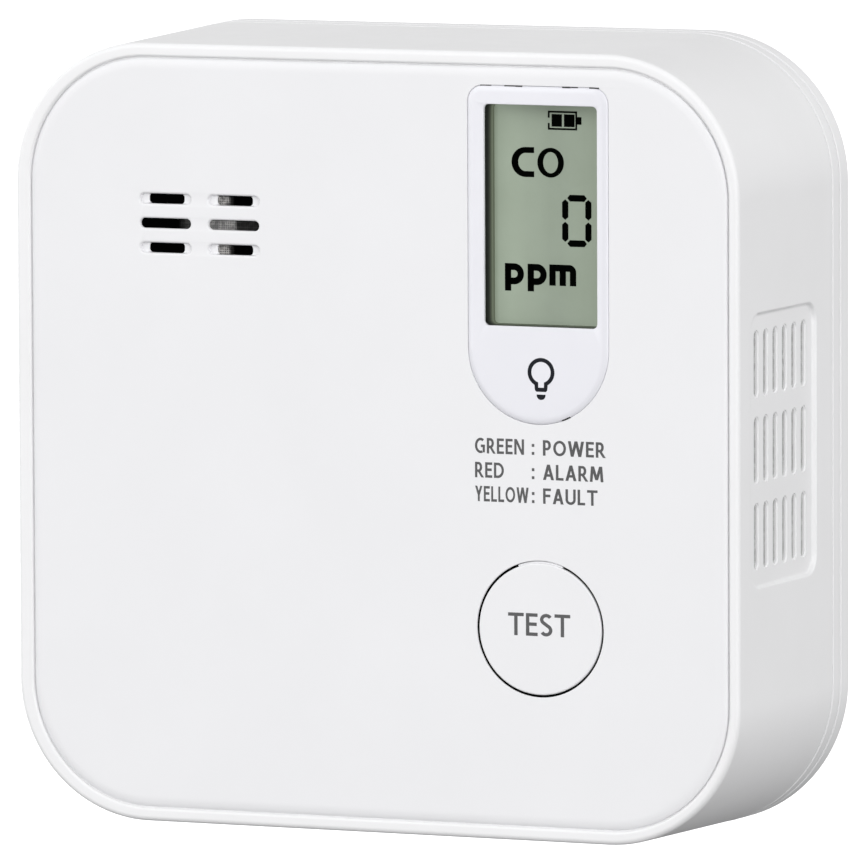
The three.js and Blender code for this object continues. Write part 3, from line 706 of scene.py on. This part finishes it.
for side, where in ((1, "right"), (-1, "left")):
    dust = Shell()
    for slot in VENT_SLOTS:
        leaf = slot(0.015)
        outside = dust.ring([(side * (VENT["floor"] - 0.42), y, z) for y, z in leaf])
        inside = dust.ring([(side * (VENT["floor"] - 0.7), y, z) for y, z in leaf])
        dust.skin(outside, inside)
        dust.cap([outside], (1, 2))
        dust.cap([inside], (1, 2))
    make("vent_cloth_" + where, dust, "detector", side_mesh)

# The six sound slots: middle x and z, and whether the slot is in the middle row.
SOUND_SLOTS = [
    (SOUND_X + column * SOUND_COLUMN, SOUND_Z + row * SOUND_ROW, row == 0)
    for column in (-0.5, 0.5)
    for row in (-1, 0, 1)
]


def ring_inside(shell, outline, grow, y, ring):
    """A ring a little inside another at the same depth, joined to it."""
    inner = shell.level(outline, grow, y)
    shell.skin(ring, inner)
    return inner


def build_panel():
    shell = Shell()
    tight = RIM_INSIDE + 0.2
    edge = [
        (PANEL_INSET, PANEL_BACK),
        (PANEL_INSET, SHELF - 0.05),
        (tight, SHELF - 0.05),
        *quarter((tight, FRONT + 0.4), (tight + 1.3, FRONT), 12),
    ]
    outside = shell.levels(groove, inward(edge))
    fronts, backs = [outside[-1]], [outside[0]]

    def opening(outline, lip, back=PANEL_BACK):
        rings = shell.levels(outline, [(0.0, back), *quarter((0.0, FRONT + lip), (lip, FRONT), 5)])
        fronts.append(rings[-1])
        return rings

    backs.append(opening(display_outline, 0.11)[0])
    backs.append(opening(circle(BUTTON_X, BUTTON_Z, BUTTON_HOLE, 128), 0.1)[0])
    step = FRONT + 0.55
    for x, z, in_middle_row in SOUND_SLOTS:
        slot = centred(x, z, 6.9, 1.26, 0.62, 8)
        if in_middle_row:
            backs.append(opening(slot, 0.26)[0])
            continue
        rings = opening(slot, 0.3, step)
        # A touch narrower than the well, so the hole stays inside the step.
        middle = centred(x, z, 4.8, 1.18, 0.42, 6)
        hole = shell.levels(middle, [(0.0, PANEL_BACK), *quarter((0.0, step + 0.12), (0.1, step), 3)])
        shell.cap([ring_inside(shell, slot, -0.06, step, rings[0]), hole[-1]])
        backs.append(hole[0])
    shell.cap(fronts)
    shell.cap(backs)
    return shell


make("front_panel_plate", build_panel(), "detector", panel_white, ["front_panel"])


def build_cover():
    shell = Shell()
    inset = 0.1
    edge = [
        *reversed(quarter((inset, COVER_BACK - EDGE_ROUND), (inset + EDGE_ROUND, COVER_BACK), 4)),
        *quarter((inset, COVER_FRONT + EDGE_ROUND), (inset + EDGE_ROUND, COVER_FRONT), 4),
    ]
    rings = shell.levels(case, inward(edge))
    backs, fronts = [rings[0]], [rings[-1]]
    holes = [circle(x * BOSS_AT, z * BOSS_AT, 3.0, 48) for x in (-1, 1) for z in (-1, 1)]
    for x, z in HOOKS:
        narrow, wide, mouth = 1.9, 3.5, z - 8
        outline = [
            (x - wide, mouth - narrow), (x + wide, mouth - narrow), (x + wide, mouth + narrow),
            (x + narrow, mouth + narrow), (x + narrow, z + narrow), (x - narrow, z + narrow),
            (x - narrow, mouth + narrow), (x - wide, mouth + narrow),
        ]
        holes.append(lambda grow, points=outline: points)
    for outline in holes:
        walls = shell.levels(outline, [(0, COVER_BACK), (0, COVER_FRONT)])
        backs.append(walls[0])
        fronts.append(walls[-1])
    bay = rounded(*BAY, 1.0, 4)
    inside = shell.levels(bay, [(0, COVER_BACK), (0, BAY_FLOOR)])
    shell.cap([inside[-1]])
    backs.append(inside[0])
    outside = shell.levels(bay, [(1.5, COVER_FRONT), (1.5, BAY_OUTSIDE)])
    shell.cap([outside[-1]])
    fronts.append(outside[0])
    shell.cap(backs)
    shell.cap(fronts)
    return shell


make("rear_cover_shell", build_cover(), "detector", shell_white, ["rear_cover"])


PLATE_WEB = -1.6
KEY_LOW, KEY_WIDE = 22, 4.0
KEY_HIGH, KEY_NARROW = 29, 2.2


def build_wall_plate():
    shell = Shell()
    edge = [
        *reversed(quarter((0.02, -0.35), (0.37, 0.0), 5)),
        *quarter((0.05, PLATE_FRONT + EDGE_ROUND), (0.05 + EDGE_ROUND, PLATE_FRONT), 4),
        (2.2, PLATE_FRONT),
        (2.2, PLATE_WEB),
    ]
    rings = shell.levels(case, inward(edge))
    backs, fronts = [rings[0]], [rings[-1]]
    for x in (-30, 30):
        profile = [*[(2.2 + a, b) for a, b in reversed(quarter((0, -0.3), (0.3, 0.0), 3))], (2.2, -1.0)]
        hole = circle(x, 0, 0, 48)
        walls = shell.levels(hole, [*profile, (2.9, PLATE_WEB)])
        backs.append(walls[0])
        fronts.append(walls[-1])
    half = math.asin(KEY_NARROW / KEY_WIDE)
    turns = [math.pi / 2 + half + (2 * math.pi - 2 * half) * i / 40 for i in range(41)]
    key = on_circle(0, KEY_LOW, KEY_WIDE, turns)
    key += on_circle(0, KEY_HIGH, KEY_NARROW, [math.pi * i / 16 for i in range(17)])
    walls = shell.levels(lambda grow: key, [(0, 0.0), (0, PLATE_WEB)])
    backs.append(walls[0])
    fronts.append(walls[-1])
    shell.cap(backs)
    shell.cap(fronts)
    for x, z in HOOKS:
        shell.box((x - 1.6, -6.6, z - 1.6), (x + 1.6, -1.4, z + 1.6))
        shell.box((x - 3.2, -6.6, z - 1.6), (x + 3.2, -5.2, z + 1.6))
    return shell


make("wall_plate_shell", build_wall_plate(), "wall_plate", shell_white, ["wall_plate"])


# ---------- Display ----------


def build_frame():
    shell = Shell()
    back = -31.65
    gap = 0.03
    outside = shell.levels(
        display_outline,
        [
            (0.9, back),
            (0.9, PANEL_BACK + 0.05),
            (-0.02, PANEL_BACK + 0.05),
            (-0.02, FRONT + 0.2),
            (-gap, FRONT + 0.18),
            *[(-gap - a, b) for a, b in quarter((0.0, FRAME_FRONT + 0.32), (0.8, FRAME_FRONT), 10)],
        ],
    )
    skin_back = FRAME_FRONT + 0.4
    inside = shell.levels(
        window,
        [
            (0.8, back),
            (0.8, skin_back),
            (0.0, skin_back),
            *quarter((0.0, FRAME_FRONT + 0.1), (0.1, FRAME_FRONT), 4),
        ],
    )
    shell.cap([outside[0], inside[0]])
    shell.cap([outside[-1], inside[-1]])
    return shell


make("display_frame_bezel", build_frame(), "detector", frame_white, ["display_frame"])


def build_holder():
    shell = Shell()
    lip_front = FRAME_FRONT + 0.5
    outer = shell.levels(window, [(0.55, -31.4), (0.55, lip_front), (0.05, lip_front), (0.05, -31.4)])
    shell.skin(outer[-1], outer[0])
    tray = rounded(12.3, 11.3, 33.3, 46.2, 0.6, 4)
    hollow = rounded(13.1, 12.1, 32.5, 45.4, 0.4, 4)
    out = shell.levels(tray, [(0, -31.6), (0, BOARD_FRONT)])
    into = shell.levels(hollow, [(0, BOARD_FRONT), (0, -31.0)])
    hole = shell.levels(window, [(0.1, -31.6), (0.1, -31.0)])
    shell.cap([out[0], hole[0]])
    shell.cap([out[-1], into[0]])
    shell.cap([into[-1], hole[-1]])
    return shell


make("lcd_holder_tray", build_holder(), "detector", lcd_black, ["lcd_holder"])


def build_gap_shadows():
    """Black slivers in the gap round the display frame, a painted shadow where the gap shows dark."""
    shell = Shell()
    top = OPENING["top"]
    ends = [
        (14.6, 16.1, 0.02),
        (17.85, 19.35, 0.0),
        (19.4, 20.25, -0.07),
        (25.65, 26.75, -0.07),
        (26.8, 27.7, 0.0),
        (29.25, 30.55, -0.02),
    ]
    for left, right, deep in ends:
        shell.box((left, FRONT + deep, top - 0.12), (right, FRONT + 1.2, top + 0.03))
    x, z, radius = 22.3, 12.4, 9.45
    turns = [math.radians(-70 + 1.4 * i) for i in range(6)]
    loop = on_circle(x, z, radius + 0.02, turns)
    loop += on_circle(x, z, radius - 0.14, turns[::-1])
    shell.prism([loop], FRONT - 0.05, FRONT + 1.2)
    return shell


make("display_gap_shadows", build_gap_shadows(), "detector", black_plastic)


# ---------- Test button ----------


# Room that the pressed button's edges need, since they swing out a little.
SWING = 0.08


def build_button():
    shell = Shell()
    soft = 0.22
    shell.turned(
        [
            (0, PANEL_BACK),
            (CAP_RADIUS, PANEL_BACK),
            *[(CAP_RADIUS - a, b) for a, b in quarter((0, FRONT + soft), (soft, FRONT), 5)],
            (0, FRONT),
        ],
        BUTTON_X,
        BUTTON_Z,
        128,
    )
    half = math.asin(TONGUE / (CAP_RADIUS + 0.2))
    turns = [math.pi / 2 - half + 2 * half * i / 16 for i in range(17)]
    root = BUTTON_HOLE - SWING
    loop = on_circle(BUTTON_X, BUTTON_Z, root, turns)
    loop += on_circle(BUTTON_X, BUTTON_Z, 7.9, turns[::-1])
    shell.prism([loop], FRONT + 0.3, PANEL_BACK)
    shell.box((BUTTON_X - 3, -33.7, BUTTON_Z + 6.5), (BUTTON_X + 3, -32.9, BUTTON_Z + 10.5))
    shell.turned([(0, -28.0), (2.2, -28.0), (2.2, -32.6), (0, -32.6)], BUTTON_X, BUTTON_Z, 32)
    return shell


make("test_button_cap", build_button(), "test_button", panel_white, ["test_button"])


def build_button_gap_shade():
    """A black ring in the gap round the button, a painted shadow, open where its living hinge joins the
    panel.
    """
    shell = Shell()
    half = math.asin((TONGUE + 0.12) / BUTTON_HOLE)
    turns = [math.pi / 2 + half + (2 * math.pi - 2 * half) * i / 96 for i in range(97)]
    loop = []
    for radius, way in ((BUTTON_HOLE + 0.01, turns), (CAP_RADIUS + SWING, turns[::-1])):
        loop += on_circle(BUTTON_X, BUTTON_Z, radius, way)
    shell.prism([loop], FRONT + 0.3, PANEL_BACK)
    return shell


make("button_gap_painted_shade", build_button_gap_shade(), "detector", segment_black)


# ---------- Strokes, letters and symbols ----------


def offset(points, distance, closed):
    """Points moved sideways by a distance, with mitred corners."""
    count = len(points)
    moved = []
    for i, (x, z) in enumerate(points):
        before = points[i - 1] if (closed or i) else None
        after = points[(i + 1) % count] if (closed or i < count - 1) else None
        normals = []
        for start, end in ((before, (x, z)), ((x, z), after)):
            if start is None or end is None:
                continue
            dx, dz = end[0] - start[0], end[1] - start[1]
            size = math.hypot(dx, dz)
            normals.append((-dz / size, dx / size))
        nx, nz = sum(n[0] for n in normals), sum(n[1] for n in normals)
        size = math.hypot(nx, nz)
        nx, nz = nx / size, nz / size
        along = max(nx * normals[0][0] + nz * normals[0][1], 0.35)
        moved.append((x + nx * distance / along, z + nz * distance / along))
    return moved


def stroke(points, width, closed=False):
    """The loops of a line of even width."""
    one, two = offset(points, width / 2, closed), offset(points, -width / 2, closed)
    return [one, two] if closed else [one + two[::-1]]


def bow(x, z, rx, rz, start, end, steps=20):
    turns = [math.radians(start + (end - start) * i / steps) for i in range(steps + 1)]
    return [(x + rx * math.cos(a), z + rz * math.sin(a)) for a in turns]


def slant(x0, z0, x1, z1, half):
    """A leaning stroke whose ends are cut level."""
    return [[(x0 - half, z0), (x0 + half, z0), (x1 + half, z1), (x1 - half, z1)]]


def letter(sign, w):
    """Width and loops of one letter, one unit high, with strokes of width w."""
    s = w / 2
    top, low = 1 - s, s
    lean = w * 0.56

    def line(*points):
        return stroke(list(points), w)

    if sign == "T":
        return 0.7, [line((0, top), (0.7, top)), line((0.35, top), (0.35, 0))]
    if sign in "EF":
        bars = [line((s, 0), (s, 1)), line((s, top), (0.52, top)), line((s, 0.52), (0.48, 0.52))]
        return 0.52, bars + ([line((s, low), (0.52, low))] if sign == "E" else [])
    if sign == "L":
        return 0.5, [line((s, 1), (s, low), (0.5, low))]
    if sign == "O":
        width = 0.84
        return width, [stroke(bow(width / 2, 0.5, width / 2 - s, 0.5 - s, 0, 348, 29), w, True)]
    if sign == "G":
        curve = bow(0.42, 0.5, 0.42 - s, 0.5 - s, 54, 292, 26)
        upright, bar = line((0.74 - s, 0.06), (0.74 - s, 0.5)), line((0.44, 0.48), (0.74, 0.48))
        return 0.76, [stroke(curve, w), upright, bar]
    if sign == "D":
        curve = [(s, low), *bow(0.28, 0.5, 0.45 - s, 0.5 - s, -90, 90, 18), (s, top)]
        return 0.74, [stroke(curve, w, True)]
    if sign in "PR":
        curve = [(s, 0.43), *bow(0.27, (top + 0.43) / 2, 0.25 - s, (top - 0.43) / 2, -90, 90, 14), (s, top)]
        loops = [line((s, 0), (s, 1)), stroke(curve, w, True)]
        return (0.55, loops) if sign == "P" else (0.62, loops + [slant(0.25, 0.46, 0.56, 0, lean)])
    if sign == "U":
        curve = [(s, 1), *bow(0.34, 0.33, 0.34 - s, 0.33 - s, 180, 360, 18), (0.68 - s, 1)]
        return 0.68, [stroke(curve, w)]
    if sign == "S":
        upper = bow(0.29, 0.74, 0.28 - s, 0.26 - s, 30, 238, 18)
        lower = bow(0.28, 0.27, 0.28 - s, 0.27 - s, 58, -150, 18)
        return 0.56, [stroke(upper + lower, w)]
    if sign == "N":
        sides = [line((s, 0), (s, 1)), line((0.72 - s, 0), (0.72 - s, 1))]
        return 0.72, sides + [slant(lean, 1, 0.72 - lean, 0, lean)]
    if sign == "A":
        legs = [slant(lean, 0, 0.36, 1, lean), slant(0.72 - lean, 0, 0.36, 1, lean)]
        return 0.72, legs + [line((0.15, 0.3), (0.57, 0.3))]
    if sign == "M":
        legs = [slant(lean, 0, 0.17, 1, lean * 0.95), slant(0.9 - lean, 0, 0.73, 1, lean * 0.95)]
        return 0.9, legs + [slant(0.19, 1, 0.45, 0.12, lean), slant(0.71, 1, 0.45, 0.12, lean)]
    if sign == "W":
        return 1.06, [
            slant(lean, 1, 0.28, 0, lean), slant(0.53, 1, 0.28, 0, lean),
            slant(0.53, 1, 0.78, 0, lean), slant(1.06 - lean, 1, 0.78, 0, lean),
        ]
    if sign == "Y":
        arms = [slant(lean, 1, 0.32, 0.42, lean), slant(0.64 - lean, 1, 0.32, 0.42, lean)]
        return 0.64, arms + [line((0.32, 0.5), (0.32, 0))]
    # A colon.
    return w * 1.2, [line((s, 0.02), (s, 0.02 + w)), line((s, 0.54), (s, 0.54 + w))]


def write(shell, text, left, bottom, height, width, weight, front, back, space=0.13):
    """Sets a line of letters between left and left + width."""
    parts = [letter(sign, weight) for sign in text]
    natural = sum(part[0] for part in parts) + space * (len(parts) - 1)
    stretch = width / (natural * height)
    at = 0.0
    for wide, shapes in parts:
        for level, loops in enumerate(shapes):
            placed = []
            for loop in loops:
                placed.append([(left + (at + x) * height * stretch, bottom + z * height) for x, z in loop])
            # Overlapping strokes stand at slightly different heights.
            shell.prism(placed, front - 0.002 * level, back)
        at += wide + space


INK = 0.015
panel_print = Shell()
ROW_HEIGHT = 1.92
for word, meaning, row_top, word_width, meaning_width in (
    ("GREEN", "POWER", 1.07, 6.6, 8.35),
    ("RED", "ALARM", -1.95, 3.9, 8.1),
    ("YELLOW", "FAULT", -4.92, 7.2, 7.3),
):
    low = row_top - ROW_HEIGHT
    write(panel_print, word, 13.75, low, ROW_HEIGHT, word_width, 0.165, FRONT - INK, FRONT + 0.02)
    write(panel_print, ":", 21.4, low, ROW_HEIGHT, 0.4, 0.19, FRONT - INK, FRONT + 0.02)
    write(panel_print, meaning, 22.9, low, ROW_HEIGHT, meaning_width, 0.165, FRONT - INK, FRONT + 0.02)
make("panel_legend", panel_print, "detector", print_grey)

button_print = Shell()
write(button_print, "TEST", 18.13, -23.36, 2.82, 8.36, 0.15, FRONT - INK, FRONT + 0.02, 0.1)
make("button_legend", button_print, "test_button", print_grey)


def build_bulb():
    """A plain light-bulb sign: round glass, neck and cap."""
    shell = Shell()
    x, z = 22.75, 9.49

    def glass(radius, half):
        bare = math.degrees(math.asin(half / radius))
        return bow(x, z, radius, radius, -90 + bare, 270 - bare, 44)

    foot = [(-0.84, -2.1), (-0.8, -2.24), (-0.64, -2.41), (0.64, -2.41), (0.8, -2.24), (0.84, -2.1)]
    outside = [*glass(1.8, 0.88), *[(x + a, z + b) for a, b in foot]]
    inside = [*glass(1.3, 0.4), (x - 0.38, z - 1.9), (x + 0.38, z - 1.9)]
    shell.prism([outside, inside], FRAME_FRONT - INK, FRAME_FRONT + 0.02)
    tip = [(x - 0.6, z - 2.76), *bow(x, z - 2.9, 0.58, 0.52, 180, 360, 14), (x + 0.6, z - 2.76)]
    shell.prism([tip], FRAME_FRONT - INK, FRAME_FRONT + 0.02)
    return shell


make("display_bulb_sign", build_bulb(), "detector", print_black)


def build_lcd_symbols():
    shell = Shell()
    front, back = LCD_FACE - 0.02, LCD_FACE + 0.02

    def add(loops):
        shell.prism(loops, front - 0.0001 * len(shell.faces) / 40, back)

    # Battery: an outline with a gap in its left side, two filled cells and the terminal.
    left, right, low, high = 22.58, 26.5, 39.36, 41.72
    w = 0.24
    x0, x1, z0, z1 = left + w / 2, right - w / 2, low + w / 2, high - w / 2
    add(stroke([(x0, 40.85), (x0, z1), (x1, z1), (x1, z0), (x0, z0), (x0, 40.2)], w))
    for a, b in ((23.08, 24.46), (24.74, 26.16)):
        add([[(a, low + 0.4), (b, low + 0.4), (b, high - 0.4), (a, high - 0.4)]])
    add([[(right - 0.05, 40.08), (27.08, 40.08), (27.08, 41.02), (right - 0.05, 41.02)]])
    # The gas sign.
    x, z, end = 19.56, 35.28, 20.72
    outer, inner = bow(x, z, 1.88, 1.86, 90, 270, 28), bow(x, z, 0.98, 1.13, 270, 90, 28)
    add([[(end, z + 1.86), *outer, (end, z - 1.86), (end, z - 1.13), *inner, (end, z + 1.13)]])
    add([bow(22.93, z, 1.78, 1.85, 0, 351, 39), bow(22.93, z, 1.0, 1.32, 0, 351, 39)])
    # One digit of six bars with pointed ends.
    left, right, low, high, w = 24.46, 28.38, 24.93, 31.37, 0.82
    mid = (low + high) / 2

    def bar(xa, za, xb, zb):
        dx, dz = xb - xa, zb - za
        size = math.hypot(dx, dz)
        ux, uz = dx / size, dz / size
        px, pz = -uz * w / 2, ux * w / 2
        e = w * 0.42
        add([[
            (xa, za), (xa + ux * e + px, za + uz * e + pz), (xb - ux * e + px, zb - uz * e + pz),
            (xb, zb), (xb - ux * e - px, zb - uz * e - pz), (xa + ux * e - px, za + uz * e - pz),
        ]])

    xl, xr, zb, zt = left + w / 2, right - w / 2, low + w / 2, high - w / 2
    for z in (zb, zt):
        bar(xl + 0.28, z, xr - 0.2, z)
    for x in (xl, xr):
        bar(x, zt - 0.16, x, mid + 0.1)
        bar(x, mid - 0.14, x, zb + 0.18)
    # The unit, in heavy lower-case letters.
    w = 0.84
    base, high, low = 20.04, 22.66, 19.24
    for x in (16.74, 19.80):
        add([[(x, low), (x + w, low), (x + w, high), (x, high)]])
        r = (high - base) / 2 - w / 2
        right = x + 2.56
        bend = bow(right - w / 2 - r, (base + high) / 2, r, r, -90, 90, 14)
        add(stroke([(x + w / 2, base + w / 2), *bend, (x + w / 2, high - w / 2)], w, True))
    x, end = 22.72, 26.31
    add([[(x, base), (x + w, base), (x + w, high), (x, high)]])
    bend = bow(end - w / 2 - 0.5, high - w / 2 - 0.5, 0.5, 0.5, 90, 0, 8)
    add(stroke([(x + w / 2, high - w / 2), *bend, (end - w / 2, base)], w))
    middle, top = (x + end) / 2, high - 0.2
    add([[(middle - w / 2, base), (middle + w / 2, base), (middle + w / 2, top), (middle - w / 2, top)]])
    return shell


make("lcd_symbols", build_lcd_symbols(), "detector", segment_black)


# ---------- Sounder ----------


SOUNDER_X, SOUNDER_Z = -24.6, 26.5


def build_sounder():
    shell = Shell()
    front, back = PANEL_BACK + 0.6, BOARD_FRONT
    rings = shell.turned(
        [
            (4.6, front), (12.3, front), (12.5, front + 0.2), (12.5, back), (11.3, back),
            (11.3, front + 4), (10.3, front + 4), (10.3, front + 1), (4.6, front + 1),
        ],
        SOUNDER_X,
        SOUNDER_Z,
        72,
    )
    shell.skin(rings[-1], rings[0])
    return shell


make("sounder_can", build_sounder(), "detector", black_plastic, ["sounder_housing"])
screen = Shell()
disc = [(0, -31.5), (4.35, -31.5), (4.4, -31.45), (4.4, -31.1), (0, -31.1)]
screen.turned(disc, SOUNDER_X, SOUNDER_Z, 48)
make("sounder_screen", screen, "detector", sound_mesh, ["sounder_mesh"])
cloth, middle_cloth = Shell(), Shell()
for x, z, in_middle_row in SOUND_SLOTS:
    if in_middle_row:
        middle_cloth.prism([centred(x, z, 6.94, 1.3, 0.64, 8)(0)], FRONT + 0.42, FRONT + 0.57)
    else:
        cloth.prism([centred(x, z, 4.84, 1.22, 0.43, 6)(0)], FRONT + 0.7, FRONT + 0.85)
make("sound_cloth", cloth, "detector", sound_mesh)
make("sound_cloth_middle", middle_cloth, "detector", middle_mesh)


# ---------- Floor, light and camera ----------


# In metres. The floor is below the wall plate in its unhooked pose.
FLOOR_SIZE, FLOOR_LEVEL = 4.0, -0.0586


def build_stage():
    mesh = bpy.data.meshes.new("floor")
    signs = [(-1, -1), (1, -1), (1, 1), (-1, 1)]
    mesh.from_pydata([(a * FLOOR_SIZE, b * FLOOR_SIZE, FLOOR_LEVEL) for a, b in signs], [], [(0, 1, 2, 3)])
    floor = bpy.data.objects.new("floor", mesh)
    bpy.context.scene.collection.objects.link(floor)
    material, tree, shader, vector = new_material("floor_pale")
    tint = add_mottle(tree, add_noise(tree, vector, 6.0), grey(0.80), grey(0.82))
    tree.links.new(tint, shader.inputs["Base Color"])
    shader.inputs["Roughness"].default_value = 0.9
    shader.inputs["Specular IOR Level"].default_value = 0.0
    shader.inputs["Emission Color"].default_value = (1, 1, 1, 1)
    shader.inputs["Emission Strength"].default_value = 0.84
    mesh.materials.append(material)
    floor.visible_diffuse = False
    floor.visible_glossy = False
    floor.visible_shadow = False
    floor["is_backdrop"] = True


def build_world():
    """A pale studio dome: bright above, dim below, and white where the camera sees it directly."""
    world = bpy.data.worlds.new("studio")
    bpy.context.scene.world = world
    world.use_nodes = True
    tree = world.node_tree
    tree.nodes.clear()
    output = tree.nodes.new("ShaderNodeOutputWorld")
    vector = tree.nodes.new("ShaderNodeTexCoord").outputs["Generated"]
    height = split_axis(tree, vector, "Z")
    stops = [
        (0.0, grey(0.23)), (0.34, grey(0.2)), (0.5, grey(0.74)), (0.6, grey(0.82)), (1.0, grey(0.58)),
    ]
    dome = add_ramp(tree, add_range(tree, height, -1.0, 1.0, 0.0, 1.0), stops)
    lit = tree.nodes.new("ShaderNodeBackground")
    lit.inputs["Strength"].default_value = 1.0
    tree.links.new(dome, lit.inputs["Color"])
    seen = tree.nodes.new("ShaderNodeBackground")
    seen.inputs["Color"].default_value = (1, 1, 1, 1)
    seen.inputs["Strength"].default_value = 1.05
    path = tree.nodes.new("ShaderNodeLightPath")
    mix = tree.nodes.new("ShaderNodeMixShader")
    tree.links.new(path.outputs["Is Camera Ray"], mix.inputs["Fac"])
    tree.links.new(lit.outputs[0], mix.inputs[1])
    tree.links.new(seen.outputs[0], mix.inputs[2])
    tree.links.new(mix.outputs[0], output.inputs["Surface"])


def away(azimuth, elevation):
    """The direction from the object that has this azimuth and elevation, in degrees."""
    azimuth, elevation = math.radians(azimuth), math.radians(elevation)
    level = math.cos(elevation)
    return Vector((math.sin(azimuth) * level, -math.cos(azimuth) * level, math.sin(elevation)))


def soft_box(name, direction, distance, size, power):
    """A square area light aimed at the object, from a direction given as azimuth and elevation."""
    back = away(*direction)
    data = bpy.data.lights.new(name, "AREA")
    data.shape = "SQUARE"
    data.size = size
    data.energy = power
    lamp = bpy.data.objects.new(name, data)
    bpy.context.scene.collection.objects.link(lamp)
    lamp.location = back * distance
    lamp.rotation_mode = "QUATERNION"
    lamp.rotation_quaternion = (-back).to_track_quat("-Z", "Y")
    lamp.visible_camera = False


# The photograph's view: angles in degrees, the aim, lens and sensor in millimetres, the distance in metres.
VIEW_AZIMUTH, VIEW_ELEVATION, VIEW_ROLL = 23.49, 5.66, -0.236
VIEW_AIM, VIEW_DISTANCE = (1.687, -19.785, 0.147), 1.5387
LENS, SENSOR = 509.903, 36


def build_camera():
    roll = math.radians(VIEW_ROLL)
    back = away(VIEW_AZIMUTH, VIEW_ELEVATION)
    forward = -back
    right = forward.cross(Vector((0, 0, 1))).normalized()
    up = right.cross(forward)
    across = right * math.cos(roll) + up * math.sin(roll)
    upward = -right * math.sin(roll) + up * math.cos(roll)
    place = Vector(VIEW_AIM) * MM + back * VIEW_DISTANCE
    data = bpy.data.cameras.new("camera")
    data.sensor_width = SENSOR
    data.lens = LENS
    data.clip_start, data.clip_end = 0.05, 50
    camera = bpy.data.objects.new("camera", data)
    bpy.context.scene.collection.objects.link(camera)
    turn = Matrix((across, upward, back)).transposed().to_4x4()
    camera.matrix_world = Matrix.Translation(place) @ turn
    bpy.context.scene.camera = camera


build_stage()
build_world()
soft_box("key_left", (-40, 16), 1.6, 1.3, 11)
soft_box("key_right", (52, 8), 1.6, 1.3, 13.3)
soft_box("back_fill", (255, 12), 1.8, 1.2, 9)
build_camera()

settings = bpy.context.scene.view_settings
settings.view_transform = "Standard"
settings.look = "None"

bpy.context.view_layer.update()
low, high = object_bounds()
